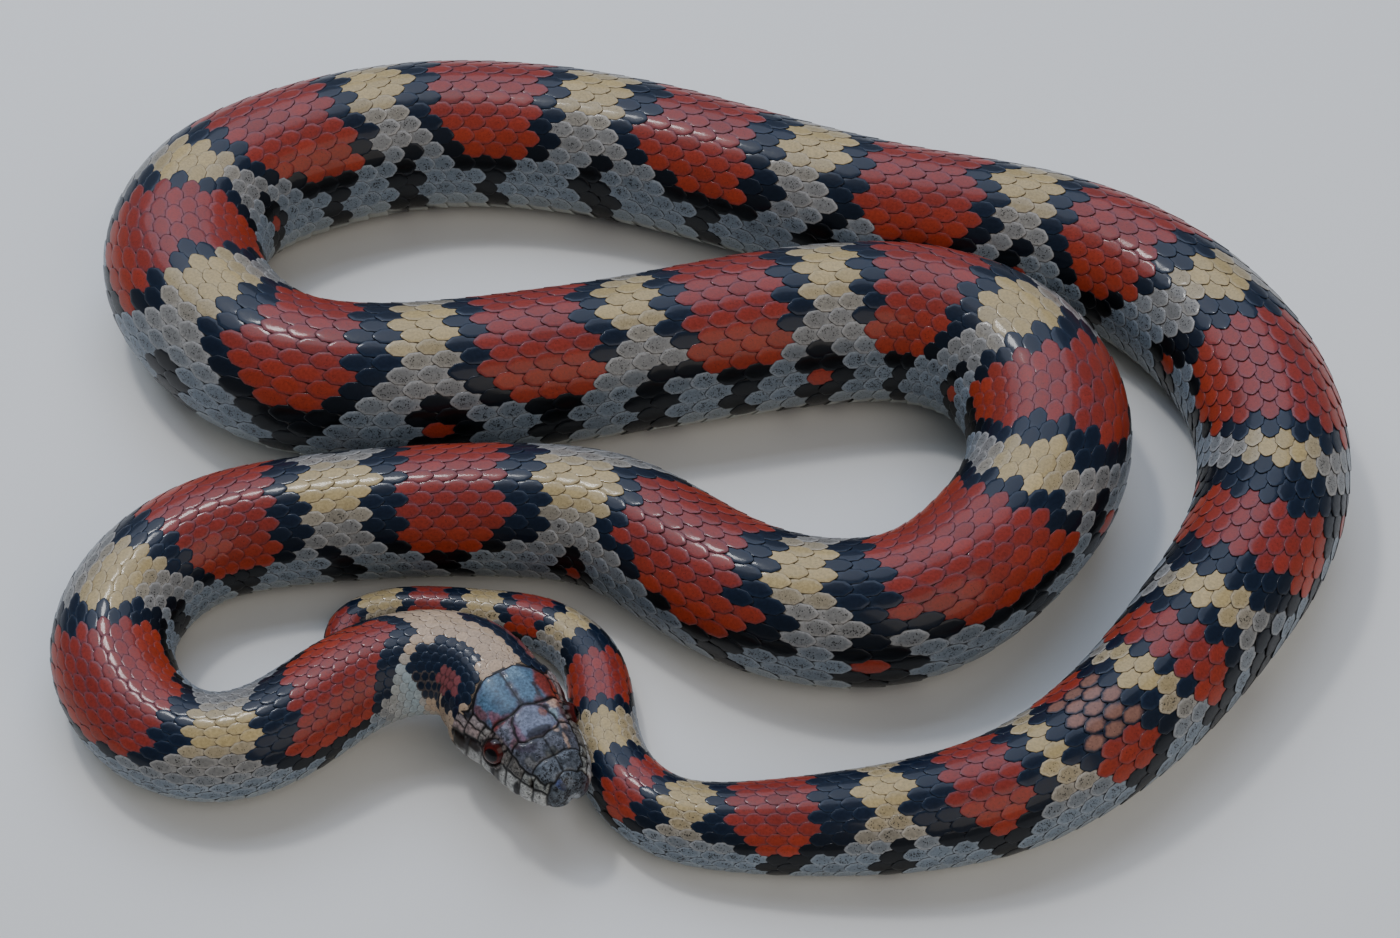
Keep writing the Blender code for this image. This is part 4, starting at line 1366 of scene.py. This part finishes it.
# %% The clear scale over the eye
def cornea_material(name):
    """A wet, clear cap over the colours of the eye."""
    material, tree = new_material(name)
    paint = add(tree, "ShaderNodeAttribute", attribute_name="markings").outputs["Color"]
    place = add(tree, "ShaderNodeTexCoord").outputs["Object"]
    grain = add(tree, "ShaderNodeTexNoise", [("Vector", place)], Scale=per_metre(0.10), Detail=3.0)
    tone = add(tree, "ShaderNodeMapRange", [("Value", grain.outputs["Fac"])],
               From_Min=0.3, From_Max=0.7, To_Min=0.7, To_Max=1.25)
    toned = add(tree, "ShaderNodeVectorMath", [(0, paint), ("Scale", tone.outputs["Result"])],
                operation="SCALE")
    shader = add(tree, "ShaderNodeBsdfPrincipled", [("Base Color", toned.outputs[0])],
                 Roughness=0.25, IOR=1.38, Specular_IOR_Level=0.2, Coat_Weight=0.32,
                 Coat_Roughness=0.02, Coat_IOR=1.40)
    add(tree, "ShaderNodeOutputMaterial", [("Surface", shader.outputs["BSDF"])])
    return material


# %% Put the materials on the pieces
coat_keratin = scale_material(
    "glossy keratin scales", roughness=0.38, gloss=0.22, bump=0.25, mottle=0.20, speck=0.17
)
skin_keratin = scale_material(
    "soft keratin skin and head plates", roughness=0.36, gloss=0.20, bump=0.30, mottle=0.50, speck=0.14
)
wet_cornea = cornea_material("wet cornea")
for piece in (*coat, belly):
    piece.data.materials.append(coat_keratin)
skin.data.materials.append(skin_keratin)
for eye in eyes:
    eye.data.materials.append(wet_cornea)
print("materials", [m.name for m in (coat_keratin, skin_keratin, wet_cornea)])

# %% [markdown]
# ## What each piece stands for
# The skin takes the place of all the solids of flesh, the coat and the belly lie over it, and
# each eyeball takes the place of its own solid. All ride on the one body of a still model.

# %% Ride and replace
flesh = [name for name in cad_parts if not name.startswith("eye")]
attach(skin, "root")
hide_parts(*flesh)
for piece in (*coat, belly):
    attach(piece, "root")
for eye, node in zip(eyes, ("eye_left", "eye_right")):
    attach(eye, "root")
    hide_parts(node)
print("solids replaced", len(flesh) + 2)

# %% [markdown]
# ## Floor, light and camera
# The photograph was taken outdoors under a soft sky, from 46 degrees above the floor. Here the
# snake lies on a plain pale floor in the same view, lit like a table in a studio: a broad, cool
# soft box behind and above it, which draws the gloss along the backs, a very small one that
# gives the thin highlights, a weaker, warmer one at the front, and a grey surround.

# %% Floor
bpy.ops.object.select_all(action="DESELECT")
bpy.ops.mesh.primitive_plane_add(size=4.0, location=(0, 0, 0))
floor = bpy.context.object
floor.name = "floor"
card = bpy.data.materials.new("matt card")
card.use_nodes = True
card.node_tree.nodes["Principled BSDF"].inputs["Base Color"].default_value = (*linear("#e6e4df"), 1)
card.node_tree.nodes["Principled BSDF"].inputs["Roughness"].default_value = 0.9
floor.data.materials.append(card)
print("floor, m across", round(floor.dimensions.x, 1))


# %% Soft boxes and surround
def soft_box(name, place, size, watts, hex_colour):
    """A square soft light that faces the snake."""
    light = bpy.data.lights.new(name, "AREA")
    light.shape = "RECTANGLE"
    light.size, light.size_y = size
    light.energy = watts
    light.color = linear(hex_colour)
    box = bpy.data.objects.new(name, light)
    bpy.context.collection.objects.link(box)
    box.matrix_world = aimed(place, place, (0, 0, 1))


soft_box("sky_box", (-0.10, 0.40, 0.60), (0.90, 0.60), 4.8, "#d6e4ff")
soft_box("glint_box", (-0.14, 0.16, 0.42), (0.05, 0.05), 0.5, "#ffffff")
soft_box("front_box", (0.30, -0.40, 0.45), (0.50, 0.50), 1.3, "#fff4e8")
world = bpy.data.worlds.new("grey surround")
world.use_nodes = True
world.node_tree.nodes["Background"].inputs["Color"].default_value = (*linear("#c2cddb"), 1)
world.node_tree.nodes["Background"].inputs["Strength"].default_value = 0.36
bpy.context.scene.world = world
print("soft boxes", len(bpy.data.lights))

# %% Camera
VIEW_ABOVE = math.radians(46)
VIEW_AWAY = 0.214286
AIM = (-0.000328, -0.001148, 0.0)
SENSOR = 36
PHOTO_WIDTH = 1400
LENS_IN_PIXELS = 2400
lens = bpy.data.cameras.new("camera")
lens.sensor_width = SENSOR
lens.lens = LENS_IN_PIXELS / PHOTO_WIDTH * SENSOR
lens.clip_start = 0.001
camera = bpy.data.objects.new("camera", lens)
bpy.context.collection.objects.link(camera)
camera.location = (
    AIM[0], AIM[1] - VIEW_AWAY * math.cos(VIEW_ABOVE), AIM[2] + VIEW_AWAY * math.sin(VIEW_ABOVE)
)
camera.rotation_euler = (math.pi / 2 - VIEW_ABOVE, 0, 0)
bpy.context.scene.camera = camera
print("lens, mm", round(lens.lens, 1))
